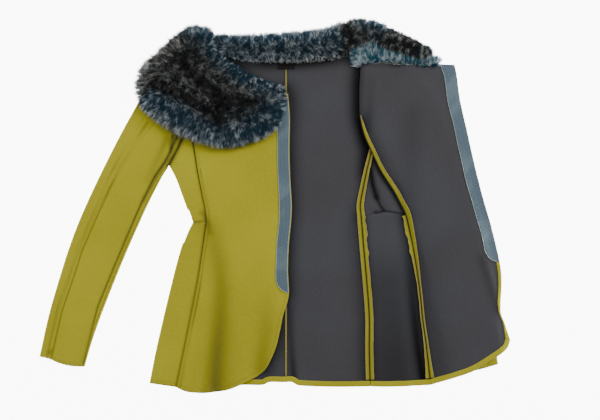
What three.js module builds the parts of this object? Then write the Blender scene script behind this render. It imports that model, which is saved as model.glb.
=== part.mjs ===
// A fitted jacket with a large faux fur collar, laid open on a table, in millimetres.
// Seen from above, x runs to the right of the centre back seam, y from the hem to the neck and z
// up from the table. Left and right are the wearer's: the right front lies shut over the back, and
// the left front is thrown open to the side, inner face up, over its own sleeve.
import * as THREE from "three";

// The cloth is a bonded double-faced jersey, so each cut piece is one wall of this thickness.
const CLOTH = 2;
const SEAM_GAP = 0.3;

// Heights of the middle of a wall above the table, for each layer of the laid garment.
const TABLE_LAYER = CLOTH / 2;
const LAYER_AIR = 2;
const UPPER_LAYER = TABLE_LAYER + CLOTH + LAYER_AIR;
const SLEEVE_EDGE = 5.6;
const SLEEVE_CROWN = 1.2;
const OVER_SLEEVE = 10.2;
const SLEEVE_RAMP = 34;
const SLEEVE_MARGIN = 4;
const TURNED_EDGE = 6.5;
const EDGE_ROLL = 2.6;

// What is sewn on top of the cloth.
const TAPE_WIDTH = 25;
const TAPE_THICK = 1;
const ALLOWANCE_WIDTH = 8;
const TURNED_ALLOWANCE = 11;
const ALLOWANCE_THICK = 1.2;
const BACK_SEAM_WIDTH = 2.4;
const HEM_TURN = 11;
const EDGE_TURN = 5;
const LABEL = { width: 34, height: 13, thick: 0.8, top: 670 };

// The fur stands this high over what it lies on.
const FUR_OVER_CLOTH = 8.7;
const FUR_ON_TABLE = 0;

// How many steps each length of seam takes. Pieces that meet at a seam share its points.
const LOWER_ROWS = 8;
const UPPER_ROWS = 6;
const ARMHOLE_ROWS = 3;
const FRONT_TOP_ROWS = 11;
const SLEEVE_ROWS = 14;
const FOLD_STEPS = 4;

const COLOURS = {
  outerCloth: { color: 0xa49a2e, roughness: 0.85, metalness: 0 },
  innerCloth: { color: 0x46474b, roughness: 0.9, metalness: 0 },
  tape: { color: 0x647884, roughness: 0.7, metalness: 0 },
  fur: { color: 0x2c4450, roughness: 0.95, metalness: 0 },
  darkFur: { color: 0x34312d, roughness: 0.95, metalness: 0 },
  label: { color: 0x2b2223, roughness: 0.7, metalness: 0 },
};

// Seams and edges as they lie. Columns: x, y.
const curve = (rows) => new THREE.SplineCurve(rows.map(([x, y]) => new THREE.Vector2(x, y)));

const centreBack = curve([[0, 0], [0, 671]]);

const left = {
  backSeamLower: curve([[177, -9], [175, 67], [175, 136], [170, 206], [163, 284], [158, 346]]),
  backSeamUpper: curve([[158, 346], [156, 372], [162, 407], [172, 454], [189, 517], [207, 556]]),
  armhole: curve([[207, 556], [212, 588], [231, 617], [267, 640]]),
  underarm: curve([[231, 460], [216, 491], [209, 523], [207, 556]]),
  frontSeamLower: curve([[304, -6], [294, 82], [287, 132], [282, 183], [273, 248], [262, 307], [252, 350]]),
  frontSeamUpper: curve([
    [252, 350], [240, 375], [226, 401], [199, 443], [178, 487], [165, 516], [157, 546], [155, 571],
    [155, 620], [158, 668],
  ]),
  frontEdge: curve([
    [471, 88], [458, 126], [450, 151], [453, 208], [449, 250], [432, 323], [412, 391], [395, 458],
    [380, 525], [365, 592], [358, 643], [353, 666],
  ]),
  frontNeck: curve([[158, 668], [202, 669], [237, 665], [271, 664], [319, 665], [353, 666]]),
  frontHem: curve([[304, -6], [351, 9], [395, 25], [439, 52], [464, 71], [471, 88]]),
  sideHem: curve([[177, -9], [208, -10], [239, -9], [304, -6]]),
  sideWaist: curve([[158, 346], [181, 352], [210, 356], [252, 350]]),
  sideUnderFront: curve([[252, 350], [241, 376], [236, 403], [231, 435], [227.3, 467.2]]),
  backHem: curve([[0, 0], [13, 0], [27, -7], [71, -9], [124, -10], [177, -9]]),
  backNeckAndShoulder: curve([
    [0, 671], [29, 671], [78, 674], [107, 679], [134, 685], [160, 660], [208, 651], [263, 637.5],
  ]),
  sleeveOuter: curve([[445, 38], [421, 193], [393, 319], [357, 433], [321, 542], [296, 603], [267, 640]]),
  sleeveInner: curve([[355, 20], [319, 185], [284, 302], [250, 399], [231, 460]]),
  cuff: curve([[445, 38], [397, 25], [355, 20]]),
};

const right = {
  backSeamLower: curve([[-177, -9], [-175, 88], [-170, 206], [-163, 284], [-158, 336]]),
  backSeamUpper: curve([[-158, 336], [-159, 372], [-162, 407], [-172, 454], [-187, 508], [-203, 556]]),
  sideFoldLower: curve([
    [-286, -2], [-275, 55], [-260, 122], [-244, 189], [-227, 256], [-212, 304], [-197, 336],
  ]),
  sideFoldUpper: curve([[-197, 336], [-206, 361], [-217, 391], [-230, 426], [-245.5, 456.3]]),
  frontSeamLower: curve([[-231, -10], [-211, 86], [-193, 167], [-184, 225], [-174, 294], [-168, 336]]),
  frontSeamUpper: curve([[-168, 336], [-171, 365], [-178, 397], [-187, 445], [-195, 496], [-203, 556]]),
  armhole: curve([[-203, 556], [-210, 590], [-229, 620], [-252, 643]]),
  underarm: curve([[-250, 448], [-229, 487], [-213, 523], [-203, 556]]),
  frontHem: curve([[-231, -10], [-208, -20], [-176, -22], [-147, -20], [-122, -16], [-94, -5], [-61, 12]]),
  frontEdge: curve([
    [-61, 12], [-44, 26], [-32, 47], [-21, 74], [-13, 107], [-6, 141], [2, 166], [6, 189], [4, 235],
    [6, 290], [12, 361], [9, 424], [7, 487], [8, 554], [3, 617],
  ]),
  frontNeckAndShoulder: curve([[-248.5, 640.5], [-191, 664], [-134, 685], [-76, 653], [3, 617]]),
  backHem: curve([[-177, -9], [-90, -6], [-50, -6], [-34, 0], [0, 0]]),
  backNeckAndShoulder: curve([[-248.5, 640.5], [-134, 687], [-97, 676], [-50, 672], [0, 671]]),
  sideHemUnder: curve([[-286, -2], [-177, -9]]),
  sideHemOver: curve([[-286, -2], [-231, -10]]),
  waistUnder: curve([[-197, 336], [-158, 336]]),
  waistOver: curve([[-197, 336], [-168, 336]]),
  sleeveOuter: curve([
    [-517, 54], [-498, 139], [-479, 206], [-458, 273], [-433, 340], [-395, 424], [-353, 508],
    [-323, 563], [-296, 607], [-252, 643],
  ]),
  sleeveInner: curve([
    [-423, 33], [-407, 88], [-383, 155], [-342.5, 256], [-298, 357], [-264.5, 424], [-250, 448],
  ]),
  cuff: curve([[-517, 54], [-496, 49], [-475, 40], [-449, 34], [-423, 33]]),
};

// Flare folds that stand up from the cloth. Each crest runs from its hem end to its top end.
// Columns: x at the hem, x at the top, y of the hem, y of the top, half width, height.
const fold = ([hemX, topX, hemY, topY, halfWidth, height]) => ({ hemX, topX, hemY, topY, halfWidth, height });
const rightFrontFolds = [
  [-172, -162, -20, 310, 26, 6.5],
  [-97, -97, -5, 300, 38, 4],
].map(fold);
const backFolds = [
  [-12, -12, 0, 150, 21, 3.6],
  [84, 80, -9, 420, 52, 3.4],
].map(fold);
const leftSideFolds = [[252, 236, -9, 330, 24, 4]].map(fold);

const smooth = (t) => THREE.MathUtils.smoothstep(t, 0, 1);

// The height that a set of folds adds at a place: a squared cosine across each crest, which
// fades out from the hem to the crest's top end.
function foldHeight(folds, x, y) {
  let sum = 0;
  for (const f of folds) {
    const along = (y - f.hemY) / (f.topY - f.hemY);
    const crest = THREE.MathUtils.lerp(f.hemX, f.topX, along);
    const across = Math.abs(x - crest) / f.halfWidth;
    if (across < 1 && along < 1) {
      sum += f.height * Math.cos((across * Math.PI) / 2) ** 2 * smooth(1 - Math.max(along, 0));
    }
  }
  return sum;
}

// The points of a curve at equal steps, and lengths of seam joined end to end.
const spaced = (path, steps) => path.getSpacedPoints(steps);
const joined = (...lengths) => lengths.flatMap((points, i) => (i ? points.slice(1) : points));
const evenly = (steps) => Array.from({ length: steps + 1 }, (_, i) => i / steps);

// A cut piece's plan as rows of points, from its four edges: the two side edges are blended
// across, the bottom and top edges are blended along, and the corners are counted once.
function plan({ from, to, bottom, top, across }) {
  const last = from.length - 1;
  return from.map((start, i) => {
    const v = i / last;
    return across.map((u, j) => {
      const side = start.clone().lerp(to[i], u);
      const end = bottom[j].clone().lerp(top[j], v);
      const low = from[0].clone().lerp(to[0], u);
      const high = from[last].clone().lerp(to[last], u);
      return side.add(end).sub(low.lerp(high, v));
    });
  });
}

// Moves one column of a plan to a set distance from an edge column, on the line to the next one.
function placeColumn(rows, column, { edge, beyond, distance }) {
  for (const row of rows) {
    const towards = row.at(beyond).clone().sub(row.at(edge)).setLength(distance);
    row[(column + row.length) % row.length] = row.at(edge).clone().add(towards);
  }
  return rows;
}

const at = (path, stations) => stations.map((u) => path.getPointAt(u));
const panel = (from, to, bottom, top, across) =>
  plan({ from, to, bottom: at(bottom, across), top: at(top, across), across });

// Lifts a plan to a surface in space.
const raise = (rows, height) =>
  rows.map((row, i) => row.map((p, j) => new THREE.Vector3(p.x, p.y, height(p.x, p.y, i, j))));

const UP = new THREE.Vector3(0, 0, 1);
const clamped = (list, k) => list[THREE.MathUtils.clamp(k, 0, list.length - 1)];

// Draws one edge of a surface back in plan by half a seam gap, square to the edge and towards
// the next line of points.
function drawBack(edge, next) {
  const moves = edge.map((p, i) => {
    const along = clamped(edge, i + 1).clone().sub(clamped(edge, i - 1)).setZ(0).normalize();
    const inward = next[i].clone().sub(p).setZ(0);
    return inward.addScaledVector(along, -inward.dot(along)).setLength(SEAM_GAP / 2);
  });
  edge.forEach((p, i) => p.add(moves[i]));
}

function trimSeams(rows) {
  const column = (j) => rows.map((row) => row.at(j));
  drawBack(column(0), column(1));
  drawBack(column(-1), column(-2));
  drawBack(rows[0], rows[1]);
  drawBack(rows.at(-1), rows.at(-2));
  return rows;
}

// Closes two matching sheets of points into one body, facing out.
function closeBetween(over, under) {
  const rows = over.length;
  const columns = over[0].length;
  const positions = [...over.flat(), ...under.flat()].flatMap((p) => p.toArray());
  const upper = (i, j) => i * columns + j;
  const lower = (i, j) => rows * columns + upper(i, j);
  const faces = [];
  const quad = (a, b, c, d) => faces.push(a, b, c, a, c, d);
  for (let i = 0; i + 1 < rows; i++) {
    for (let j = 0; j + 1 < columns; j++) {
      quad(upper(i, j), upper(i, j + 1), upper(i + 1, j + 1), upper(i + 1, j));
      quad(lower(i, j), lower(i + 1, j), lower(i + 1, j + 1), lower(i, j + 1));
    }
    quad(upper(i, 0), upper(i + 1, 0), lower(i + 1, 0), lower(i, 0));
    quad(upper(i + 1, columns - 1), upper(i, columns - 1), lower(i, columns - 1), lower(i + 1, columns - 1));
  }
  for (let j = 0; j + 1 < columns; j++) {
    quad(upper(0, j + 1), upper(0, j), lower(0, j), lower(0, j + 1));
    quad(upper(rows - 1, j), upper(rows - 1, j + 1), lower(rows - 1, j + 1), lower(rows - 1, j));
  }
  const geometry = new THREE.BufferGeometry();
  geometry.setAttribute("position", new THREE.Float32BufferAttribute(positions, 3));
  geometry.setIndex(volume(positions, faces) > 0 ? faces : faces.reverse());
  return geometry;
}

function volume(positions, faces) {
  const corner = (k) => new THREE.Vector3().fromArray(positions, 3 * faces[k]);
  let sum = 0;
  for (let k = 0; k < faces.length; k += 3) {
    sum += corner(k).dot(corner(k + 1).cross(corner(k + 2)));
  }
  return sum / 6;
}

// A wall round a surface that lies nearly flat: half its thickness straight up and half down.
function flatWall(rows, thick) {
  const shifted = (by) => rows.map((row) => row.map((p) => p.clone().addScaledVector(UP, by)));
  return closeBetween(shifted(thick / 2), shifted(-thick / 2));
}

// A wall round a surface that turns over: half its thickness to each side, square to the surface.
// At both ends it is square to the end's own line in plan, so that it stays clear of a seam there.
function turnedWall(rows, thick) {
  const normals = rows.map((row, i) => {
    const widest = row.reduce((far, p) => (p.distanceTo(row[0]) > far.distanceTo(row[0]) ? p : far));
    const atEnd = i === 0 || i === rows.length - 1;
    return row.map((_, j) => {
      const across = clamped(row, j + 1).clone().sub(clamped(row, j - 1));
      const along = clamped(rows, i + 1)[j].clone().sub(clamped(rows, i - 1)[j]);
      const square = widest.clone().sub(row[0]).cross(UP);
      return across.cross(atEnd ? square.multiplyScalar(Math.sign(square.dot(along))) : along).normalize();
    });
  });
  const shifted = (by) =>
    rows.map((row, i) => row.map((p, j) => p.clone().addScaledVector(normals[i][j], by)));
  return closeBetween(shifted(thick / 2), shifted(-thick / 2));
}

// The half turn of cloth between a lower and an upper layer whose last points are one over the
// other, bulging away from the point before them. Only the points between the two are given.
function halfTurn(low, high, before) {
  const centre = low.clone().lerp(high, 0.5);
  const radius = (high.z - low.z) / 2;
  const outward = low.clone().sub(before).setZ(0).normalize();
  return evenly(FOLD_STEPS).slice(1, -1).map((t) => {
    const turn = (t - 0.5) * Math.PI;
    const place = centre.clone().addScaledVector(outward, radius * Math.cos(turn));
    return place.setZ(centre.z + radius * Math.sin(turn));
  });
}

// Moves the first point of a row in from the fold by the radius of its half turn.
function tuckFold(row, radius) {
  const inward = row[1].clone().sub(row[0]).setZ(0);
  return [row[0].clone().addScaledVector(inward.normalize(), radius), ...row.slice(1)];
}

function meshOf(name, geometry, finish) {
  const mesh = new THREE.Mesh(geometry, new THREE.MeshStandardMaterial(finish));
  mesh.name = name;
  return mesh;
}

// Where the pieces of the left half lie. The open front climbs over the sleeve, and its edge
// above the waist is a turned edge that hangs over the side panel.
const sleeveBand = (() => {
  const widthAt = (path) => {
    const points = spaced(path, 60);
    return (y) => {
      const next = points.findIndex((p) => p.y > y);
      const [a, b] = next > 0 ? [points[next - 1], points[next]] : next ? points.slice(-2) : points;
      return THREE.MathUtils.mapLinear(y, a.y, b.y, a.x, b.x);
    };
  };
  const below = widthAt(left.sleeveInner);
  const above = widthAt(new THREE.SplineCurve(joined(left.underarm.points, left.armhole.points)));
  const outer = widthAt(left.sleeveOuter);
  const seam = widthAt(left.frontSeamLower);
  const underarmY = left.underarm.points[0].y;
  return { inner: (y) => (y < underarmY ? below(y) : above(y)), outer, seam, low: 22, high: 643 };
})();

const SEAM_RISE = { from: 300, to: 420 };
const upTheRise = (y) => smooth((y - SEAM_RISE.from) / (SEAM_RISE.to - SEAM_RISE.from));
const seamRise = (y) => THREE.MathUtils.lerp(TABLE_LAYER, TURNED_EDGE, upTheRise(y));

function leftFrontHeight(x, y) {
  const room = sleeveBand.inner(y) - sleeveBand.seam(y) - SLEEVE_MARGIN;
  const climbs = [
    [sleeveBand.inner(y) - x, y < SEAM_RISE.to ? Math.min(Math.max(room, 10), SLEEVE_RAMP) : SLEEVE_RAMP],
    [x - sleeveBand.outer(y), SLEEVE_RAMP],
    [sleeveBand.low - y, SLEEVE_RAMP],
    [y - sleeveBand.high, SLEEVE_RAMP],
  ].map(([outside, ramp]) => 1 - smooth((outside - SLEEVE_MARGIN) / ramp));
  const rest = seamRise(y);
  return rest + Math.max(OVER_SLEEVE - rest, 0) * Math.min(...climbs);
}

const rightFrontHeight = (x, y) => UPPER_LAYER + foldHeight(rightFrontFolds, x, y);
const backHeight = (x, y) => TABLE_LAYER + foldHeight(backFolds, x, y);

// The left side panel lifts with the front seam towards the waist.
function sideHeight(x, y) {
  const share = (x - sleeveBand.seam(y) + 60) / 60;
  const lift = (seamRise(y) - TABLE_LAYER) * smooth(share);
  return TABLE_LAYER + foldHeight(leftSideFolds, x, y) + lift;
}

// Columns of each panel, as shares of its width.
const BACK_ACROSS = [0, 0.06, 0.2, 0.35, 0.5, 0.65, 0.8, 0.94, 1];
const LEFT_FRONT_ACROSS = [0, 0.07, 0.16, 0.27, 0.4, 0.53, 0.65, 0.76, 0.86, 1];
const RIGHT_FRONT_ACROSS = [0, 0.09, 0.18, 0.28, 0.4, 0.52, 0.64, 0.76, 0.86, 1];
const SIDE_ACROSS = evenly(6);
const UNDERARM_ACROSS = evenly(3);
// The side panels stop this far along the underarm seam, clear of the sleeve's own fold.
const UNDERARM_START = 0.08;
const underarmEdge = (side) => at(side.underarm, [UNDERARM_START, 1 / 3, 2 / 3, 1]);
const halved = (points) =>
  points.flatMap((p, i) => (i ? [points[i - 1].clone().lerp(p, 0.5), p] : [p]));

// A seam's points from the hem, with one more where the hem's turn-up ends.
const fromHem = (path, steps) => at(path, [0, HEM_TURN / path.getLength(), ...evenly(steps).slice(1)]);
const HEM_ROWS = 1;

// The seam of a back or a front from the hem to its shoulder corner, round the armhole.
const ARMHOLE_STATIONS = evenly(ARMHOLE_ROWS).slice(0, -1);
function toShoulder(side, lower, upper, corner) {
  const round = [...at(side.armhole, ARMHOLE_STATIONS), corner];
  return joined(fromHem(lower, LOWER_ROWS), spaced(upper, UPPER_ROWS), round);
}

function backLeft() {
  const corner = left.backNeckAndShoulder.getPoint(1);
  const seam = toShoulder(left, left.backSeamLower, left.backSeamUpper, corner);
  const middle = fromHem(centreBack, seam.length - 1 - HEM_ROWS);
  const rows = panel(middle, seam, left.backHem, left.backNeckAndShoulder, BACK_ACROSS);
  return trimSeams(raise(rows, backHeight));
}

function backRight() {
  const corner = right.backNeckAndShoulder.getPoint(0);
  const seam = toShoulder(right, right.backSeamLower, right.backSeamUpper, corner);
  const middle = fromHem(centreBack, seam.length - 1 - HEM_ROWS);
  const rows = panel(seam, middle, right.backHem, right.backNeckAndShoulder, BACK_ACROSS);
  return trimSeams(raise(rows, backHeight));
}

function sideLeftLower() {
  const rows = panel(
    fromHem(left.backSeamLower, LOWER_ROWS),
    fromHem(left.frontSeamLower, LOWER_ROWS),
    left.sideHem,
    left.sideWaist,
    SIDE_ACROSS
  );
  return trimSeams(raise(rows, sideHeight));
}

function sideLeftUpper() {
  const rows = plan({
    from: spaced(left.backSeamUpper, UPPER_ROWS),
    to: spaced(left.sideUnderFront, UPPER_ROWS),
    bottom: at(left.sideWaist, SIDE_ACROSS),
    top: halved(underarmEdge(left)).reverse(),
    across: SIDE_ACROSS,
  });
  return trimSeams(raise(rows, () => TABLE_LAYER));
}

function frontLeft() {
  const skirt = fromHem(left.frontSeamLower, LOWER_ROWS);
  const seam = joined(skirt, spaced(left.frontSeamUpper, FRONT_TOP_ROWS));
  const edge = fromHem(left.frontEdge, seam.length - 1 - HEM_ROWS);
  const rows = panel(seam, edge, left.frontHem, left.frontNeck, LEFT_FRONT_ACROSS);
  placeColumn(rows, 1, { edge: 0, beyond: 2, distance: TURNED_ALLOWANCE });
  placeColumn(rows, -2, { edge: -1, beyond: -3, distance: TAPE_WIDTH });
  const surface = raise(rows, leftFrontHeight);
  for (const row of surface) {
    row[0].z -= EDGE_ROLL * smooth((row[0].y - SEAM_RISE.to) / (SEAM_RISE.to - SEAM_RISE.from));
  }
  return trimSeams(surface);
}

function frontRight() {
  const corner = right.frontNeckAndShoulder.getPoint(0);
  const seam = toShoulder(right, right.frontSeamLower, right.frontSeamUpper, corner);
  const edge = fromHem(right.frontEdge, seam.length - 1 - HEM_ROWS);
  const rows = panel(seam, edge, right.frontHem, right.frontNeckAndShoulder, RIGHT_FRONT_ACROSS);
  placeColumn(rows, -2, { edge: -1, beyond: -3, distance: TAPE_WIDTH });
  return trimSeams(raise(rows, rightFrontHeight));
}

// A side panel of the right half, folded along the side of the laid garment: from the back seam
// along the table, round the fold, and over to the front seam.
function foldedSide({ foldLine, backSeam, frontSeam, under, over, pointsOf }) {
  const line = pointsOf(foldLine);
  const across = UNDERARM_ACROSS;
  const layer = (seam, ends) =>
    plan({ from: line, to: pointsOf(seam), bottom: at(ends[0], across), top: ends[1], across });
  const topEdge = (edge) => (edge === "underarm" ? underarmEdge(right) : at(edge, across));
  const lower = trimSeams(raise(layer(backSeam, [under[0], topEdge(under[1])]), () => TABLE_LAYER));
  const upper = trimSeams(raise(layer(frontSeam, [over[0], topEdge(over[1])]), rightFrontHeight));
  return lower.map((row, i) => {
    const radius = (upper[i][0].z - row[0].z) / 2;
    const low = tuckFold(row, radius);
    const high = tuckFold(upper[i], radius);
    high[0].x = low[0].x;
    high[0].y = low[0].y;
    return [...low.slice().reverse(), ...halfTurn(low[0], high[0], low[1]), ...high];
  });
}

const sideRightLower = () =>
  foldedSide({
    foldLine: right.sideFoldLower,
    backSeam: right.backSeamLower,
    frontSeam: right.frontSeamLower,
    under: [right.sideHemUnder, right.waistUnder],
    over: [right.sideHemOver, right.waistOver],
    pointsOf: (seam) => fromHem(seam, LOWER_ROWS),
  });

const sideRightUpper = () =>
  foldedSide({
    foldLine: right.sideFoldUpper,
    backSeam: right.backSeamUpper,
    frontSeam: right.frontSeamUpper,
    under: [right.waistUnder, "underarm"],
    over: [right.waistOver, "underarm"],
    pointsOf: (seam) => spaced(seam, UPPER_ROWS),
  });

// A sleeve is a flat tube of two pieces. The upper sleeve lies on top between two seams, and the
// under sleeve goes from one seam round both folds to the other.
// Columns: share of the length from the cuff, share of the width at the outer seam, at the inner.
const SLEEVE_SEAMS = [
  [0, 0.235, 0.885],
  [0.25, 0.257, 0.88],
  [0.5, 0.268, 0.87],
  [0.75, 0.282, 0.86],
  [1, 1 / 3, 5 / 6],
];
// The curve of each end of the sleeve fades out within a few rows of it.
const END_FADE = 6;
function seamShare(v, column) {
  const next = SLEEVE_SEAMS.findIndex((row) => row[0] >= v && row[0] > 0);
  const [a, b] = SLEEVE_SEAMS.slice(next - 1, next + 1);
  return THREE.MathUtils.mapLinear(v, a[0], b[0], a[column], b[column]);
}

function sleeve(side) {
  const endAt = (u) =>
    u < 0.5 ? side.armhole.getPointAt(1 - 2 * u) : side.underarm.getPointAt(2 - 2 * u);
  const outer = spaced(side.sleeveOuter, SLEEVE_ROWS);
  const inner = spaced(side.sleeveInner, SLEEVE_ROWS);
  const place = (u, i) => {
    const v = i / SLEEVE_ROWS;
    const cuffBulge = side.cuff.getPointAt(u).sub(outer[0].clone().lerp(inner[0], u));
    const capBulge = endAt(u).sub(outer[SLEEVE_ROWS].clone().lerp(inner[SLEEVE_ROWS], u));
    const across = outer[i].clone().lerp(inner[i], u);
    return across.addScaledVector(cuffBulge, (1 - v) ** END_FADE).addScaledVector(capBulge, v ** END_FADE);
  };
  const crown = (u) => SLEEVE_EDGE + SLEEVE_CROWN * Math.sin(Math.PI * u);
  const point = (u, i, z) => new THREE.Vector3(...place(u, i), z);
  const radius = (SLEEVE_EDGE - TABLE_LAYER) / 2;
  const under = [];
  const upper = [];
  for (let i = 0; i <= SLEEVE_ROWS; i++) {
    const v = i / SLEEVE_ROWS;
    const [outerSeam, innerSeam] = [seamShare(v, 1), seamShare(v, 2)];
    const tuck = radius / outer[i].distanceTo(inner[i]);
    const bottom = [tuck, 1 / 6, 1 / 3, 1 / 2, 2 / 3, 5 / 6, 1 - tuck].map((u) => point(u, i, TABLE_LAYER));
    const outerTop = point(tuck, i, SLEEVE_EDGE);
    const innerTop = point(1 - tuck, i, SLEEVE_EDGE);
    under.push([
      point(outerSeam, i, crown(outerSeam)),
      point(outerSeam / 2, i, crown(outerSeam / 2)),
      outerTop,
      ...halfTurn(bottom[0], outerTop, bottom[1]).reverse(),
      ...bottom,
      ...halfTurn(bottom.at(-1), innerTop, bottom.at(-2)),
      innerTop,
      point(innerSeam, i, crown(innerSeam)),
    ]);
    const between = evenly(3).map((t) => THREE.MathUtils.lerp(outerSeam, innerSeam, t));
    upper.push(between.map((u) => point(u, i, crown(u))));
  }
  // The armhole is followed by chords, so the cap is drawn back from it a little further.
  for (const cap of [under, upper]) {
    trimSeams(cap);
    drawBack(cap.at(-1), cap.at(-2));
    drawBack(cap.at(-1), cap.at(-2));
  }
  return { under, upper };
}

// A strip that lies on a panel along one of its edges, a little over the panel's own points.
// Each edge point and its inner neighbour come from the panel, so the strip follows every fold.
// Its ends are given in the panel's rows, counted from the hem, and an end row may be a part of one.
const edgeOf = {
  start: (rows) => rows.map((row) => [row[0], row[1]]),
  end: (rows) => rows.map((row) => [row.at(-1), row.at(-2)]),
  bottom: (rows) => rows[0].map((p, j) => [p, rows[1][j]]),
};

function strip(rows, edge, { width, thick, set = 0, from = 0, to, clear = SEAM_GAP, extra = [] }) {
  const pairs = edgeOf[edge](rows);
  const last = pairs.length - 1;
  const end = to ?? last;
  const pairAt = (t) => {
    const i = Math.min(Math.floor(t), last - 1);
    return [0, 1].map((k) => pairs[i][k].clone().lerp(pairs[i + 1][k], t - i));
  };
  const whole = pairs.map((_, i) => i).filter((i) => i > from + 1e-6 && i < end - 1e-6);
  const inside = [...whole, ...extra].sort((a, b) => a - b);
  const lift = CLOTH / 2 + clear + thick / 2;
  return [from, ...inside, end].map((t) => {
    const [outer, inner] = pairAt(t);
    const span = inner.clone().sub(outer);
    const flat = Math.hypot(span.x, span.y);
    const wide = typeof width === "function" ? width(t) : width;
    const reach = edge === "end" ? [set + wide, set] : [set, set + wide];
    return reach.map((d) => outer.clone().addScaledVector(span, d / flat).addScaledVector(UP, lift));
  });
}

// The fur is a thick soft body between an inner and an outer outline. Across it, the underside
// goes from its own height at the inner outline to another at the outer one, and the top is a
// round crown with furrows pressed into it.
function furBody({ inner, outer, steps, columns, rim, height, underInner, underOuter, furrows = [] }) {
  const nearEdge = spaced(inner, steps);
  const farEdge = spaced(outer, steps);
  const over = [];
  const under = [];
  for (let i = 0; i <= steps; i++) {
    const v = i / steps;
    const lowEnd = underInner(v);
    const farEnd = underOuter(v);
    const loft = height * Math.sin(Math.PI * THREE.MathUtils.clamp(0.12 + v * 0.76, 0, 1)) ** 0.45;
    const points = evenly(columns).map((u) => {
      const p = nearEdge[i].clone().lerp(farEdge[i], u);
      const z = THREE.MathUtils.lerp(lowEnd, farEnd, smooth((u - 0.35) / 0.65));
      const dome = Math.sqrt(Math.max(1 - (2 * u - 1) ** 2, 0));
      const pressed = furrows.reduce((sum, f) => sum + f.depth * Math.exp(-(((u - f.at) / f.width) ** 2)), 0);
      return { p, z, top: z + rim + (loft - rim) * dome * (1 - pressed) };
    });
    under.push(points.map(({ p, z }) => new THREE.Vector3(p.x, p.y, z)));
    over.push(points.map(({ p, top }) => new THREE.Vector3(p.x, p.y, top)));
  }
  return closeBetween(over, under);
}

// The collar's fall on the right front. Its outer edge droops to the table past the shoulder.
function furRight() {
  const droop = (v) => THREE.MathUtils.lerp(1, FUR_OVER_CLOTH, smooth((v - 0.19) / 0.08));
  return furBody({
    inner: curve([
      [-160, 742], [-153.5, 724], [-147, 706], [-140.5, 688], [-122, 672], [-97, 655], [-71, 640],
      [-46, 630], [-21, 624], [0, 615], [6, 598],
    ]),
    outer: curve([
      [-172, 750], [-200, 746], [-227, 729], [-254, 710], [-281, 682], [-307, 659], [-317, 634],
      [-317, 609], [-307, 580], [-286, 559], [-254, 533], [-223, 514], [-191, 502], [-155, 491],
      [-122, 491], [-86, 499], [-50, 514], [-23, 536], [-4, 559], [5, 580],
    ]),
    steps: 18,
    columns: 10,
    rim: 9,
    height: 38,
    underInner: () => FUR_OVER_CLOTH,
    underOuter: droop,
    furrows: [{ at: 0.34, width: 0.09, depth: 0.24 }, { at: 0.7, width: 0.08, depth: 0.2 }],
  });
}

const flatUnder = () => FUR_ON_TABLE;

function furBack() {
  return furBody({
    inner: curve([
      [-139.8, 690.5], [-130, 690.5], [-119, 688], [-97, 679], [-50, 674.5], [0, 673.5], [29, 673.5],
      [78, 676], [107, 681], [130.2, 688],
    ]),
    outer: curve([
      [-155.8, 733], [-105, 733], [-50, 735], [8, 739], [50, 743], [82, 748], [108, 757], [131.3, 765],
    ]),
    steps: 14,
    columns: 7,
    rim: 10,
    height: 36,
    underInner: flatUnder,
    underOuter: flatUnder,
  });
}

function furLeftFall() {
  return furBody({
    inner: curve([
      [131, 704], [141, 714.5], [164, 724.5], [187, 718.5], [200, 706.5], [225, 697.5], [246, 691.5],
      [271, 684.5], [296, 682.5], [312, 677],
    ]),
    outer: curve([
      [132, 765], [151, 769], [178, 763], [206, 750], [233, 739], [262, 722], [292, 701], [316, 683],
    ]),
    steps: 14,
    columns: 6,
    rim: 9,
    height: 33,
    underInner: flatUnder,
    underOuter: flatUnder,
  });
}

function furLeftStand() {
  return furBody({
    inner: curve([
      [146, 688], [156, 674], [162, 671.5], [206, 671.5], [240, 668], [254, 667.5], [318, 667.5],
    ]),
    outer: curve([
      [138, 700], [143, 711], [164, 723.5], [187, 717.5], [199, 705.5], [225, 696.5], [246, 690], [271, 683],
      [295, 681], [318, 670.5],
    ]),
    steps: 14,
    columns: 5,
    rim: 7,
    height: 26,
    underInner: flatUnder,
    underOuter: flatUnder,
  });
}

// The label is a plain woven tab across the centre back seam, just under the collar.
function neckLabel() {
  const middle = TABLE_LAYER + CLOTH / 2 + SEAM_GAP + LABEL.thick / 2;
  return new THREE.BoxGeometry(LABEL.width, LABEL.height, LABEL.thick).translate(
    0,
    LABEL.top - LABEL.height / 2,
    middle
  );
}

// The closure tape is sewn along a front edge. It stops short of the hem with a round corner,
// which a table of widths gives. Columns: distance from the tape's lower end, width.
const TAPE_END = [
  [0, 4],
  [6, 14],
  [14, 21],
  [26, TAPE_WIDTH],
];
function tapeWidth(distance) {
  const next = TAPE_END.findIndex((row) => row[0] > distance);
  if (next < 0) return TAPE_WIDTH;
  const [a, b] = [TAPE_END[next - 1], TAPE_END[next]];
  return THREE.MathUtils.mapLinear(distance, a[0], b[0], a[1], b[1]);
}

// The rounded end needs its own rows, so the tape's first row is taken in four parts.
function tape(rows, edge, start, end) {
  const rowLength = edge.getLength() / (rows.length - 1 - HEM_ROWS);
  return strip(rows, "end", {
    width: (t) => tapeWidth((t - start) * rowLength),
    thick: TAPE_THICK,
    from: start,
    to: end,
    extra: TAPE_END.slice(1).map(([distance]) => start + distance / rowLength),
  });
}

const pieces = {
  back_left: backLeft(),
  back_right: backRight(),
  side_left_lower: sideLeftLower(),
  side_left_upper: sideLeftUpper(),
  front_left: frontLeft(),
  front_right: frontRight(),
};
const folded = { side_right_lower: sideRightLower(), side_right_upper: sideRightUpper() };
const sleeves = { left: sleeve(left), right: sleeve(right) };

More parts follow.
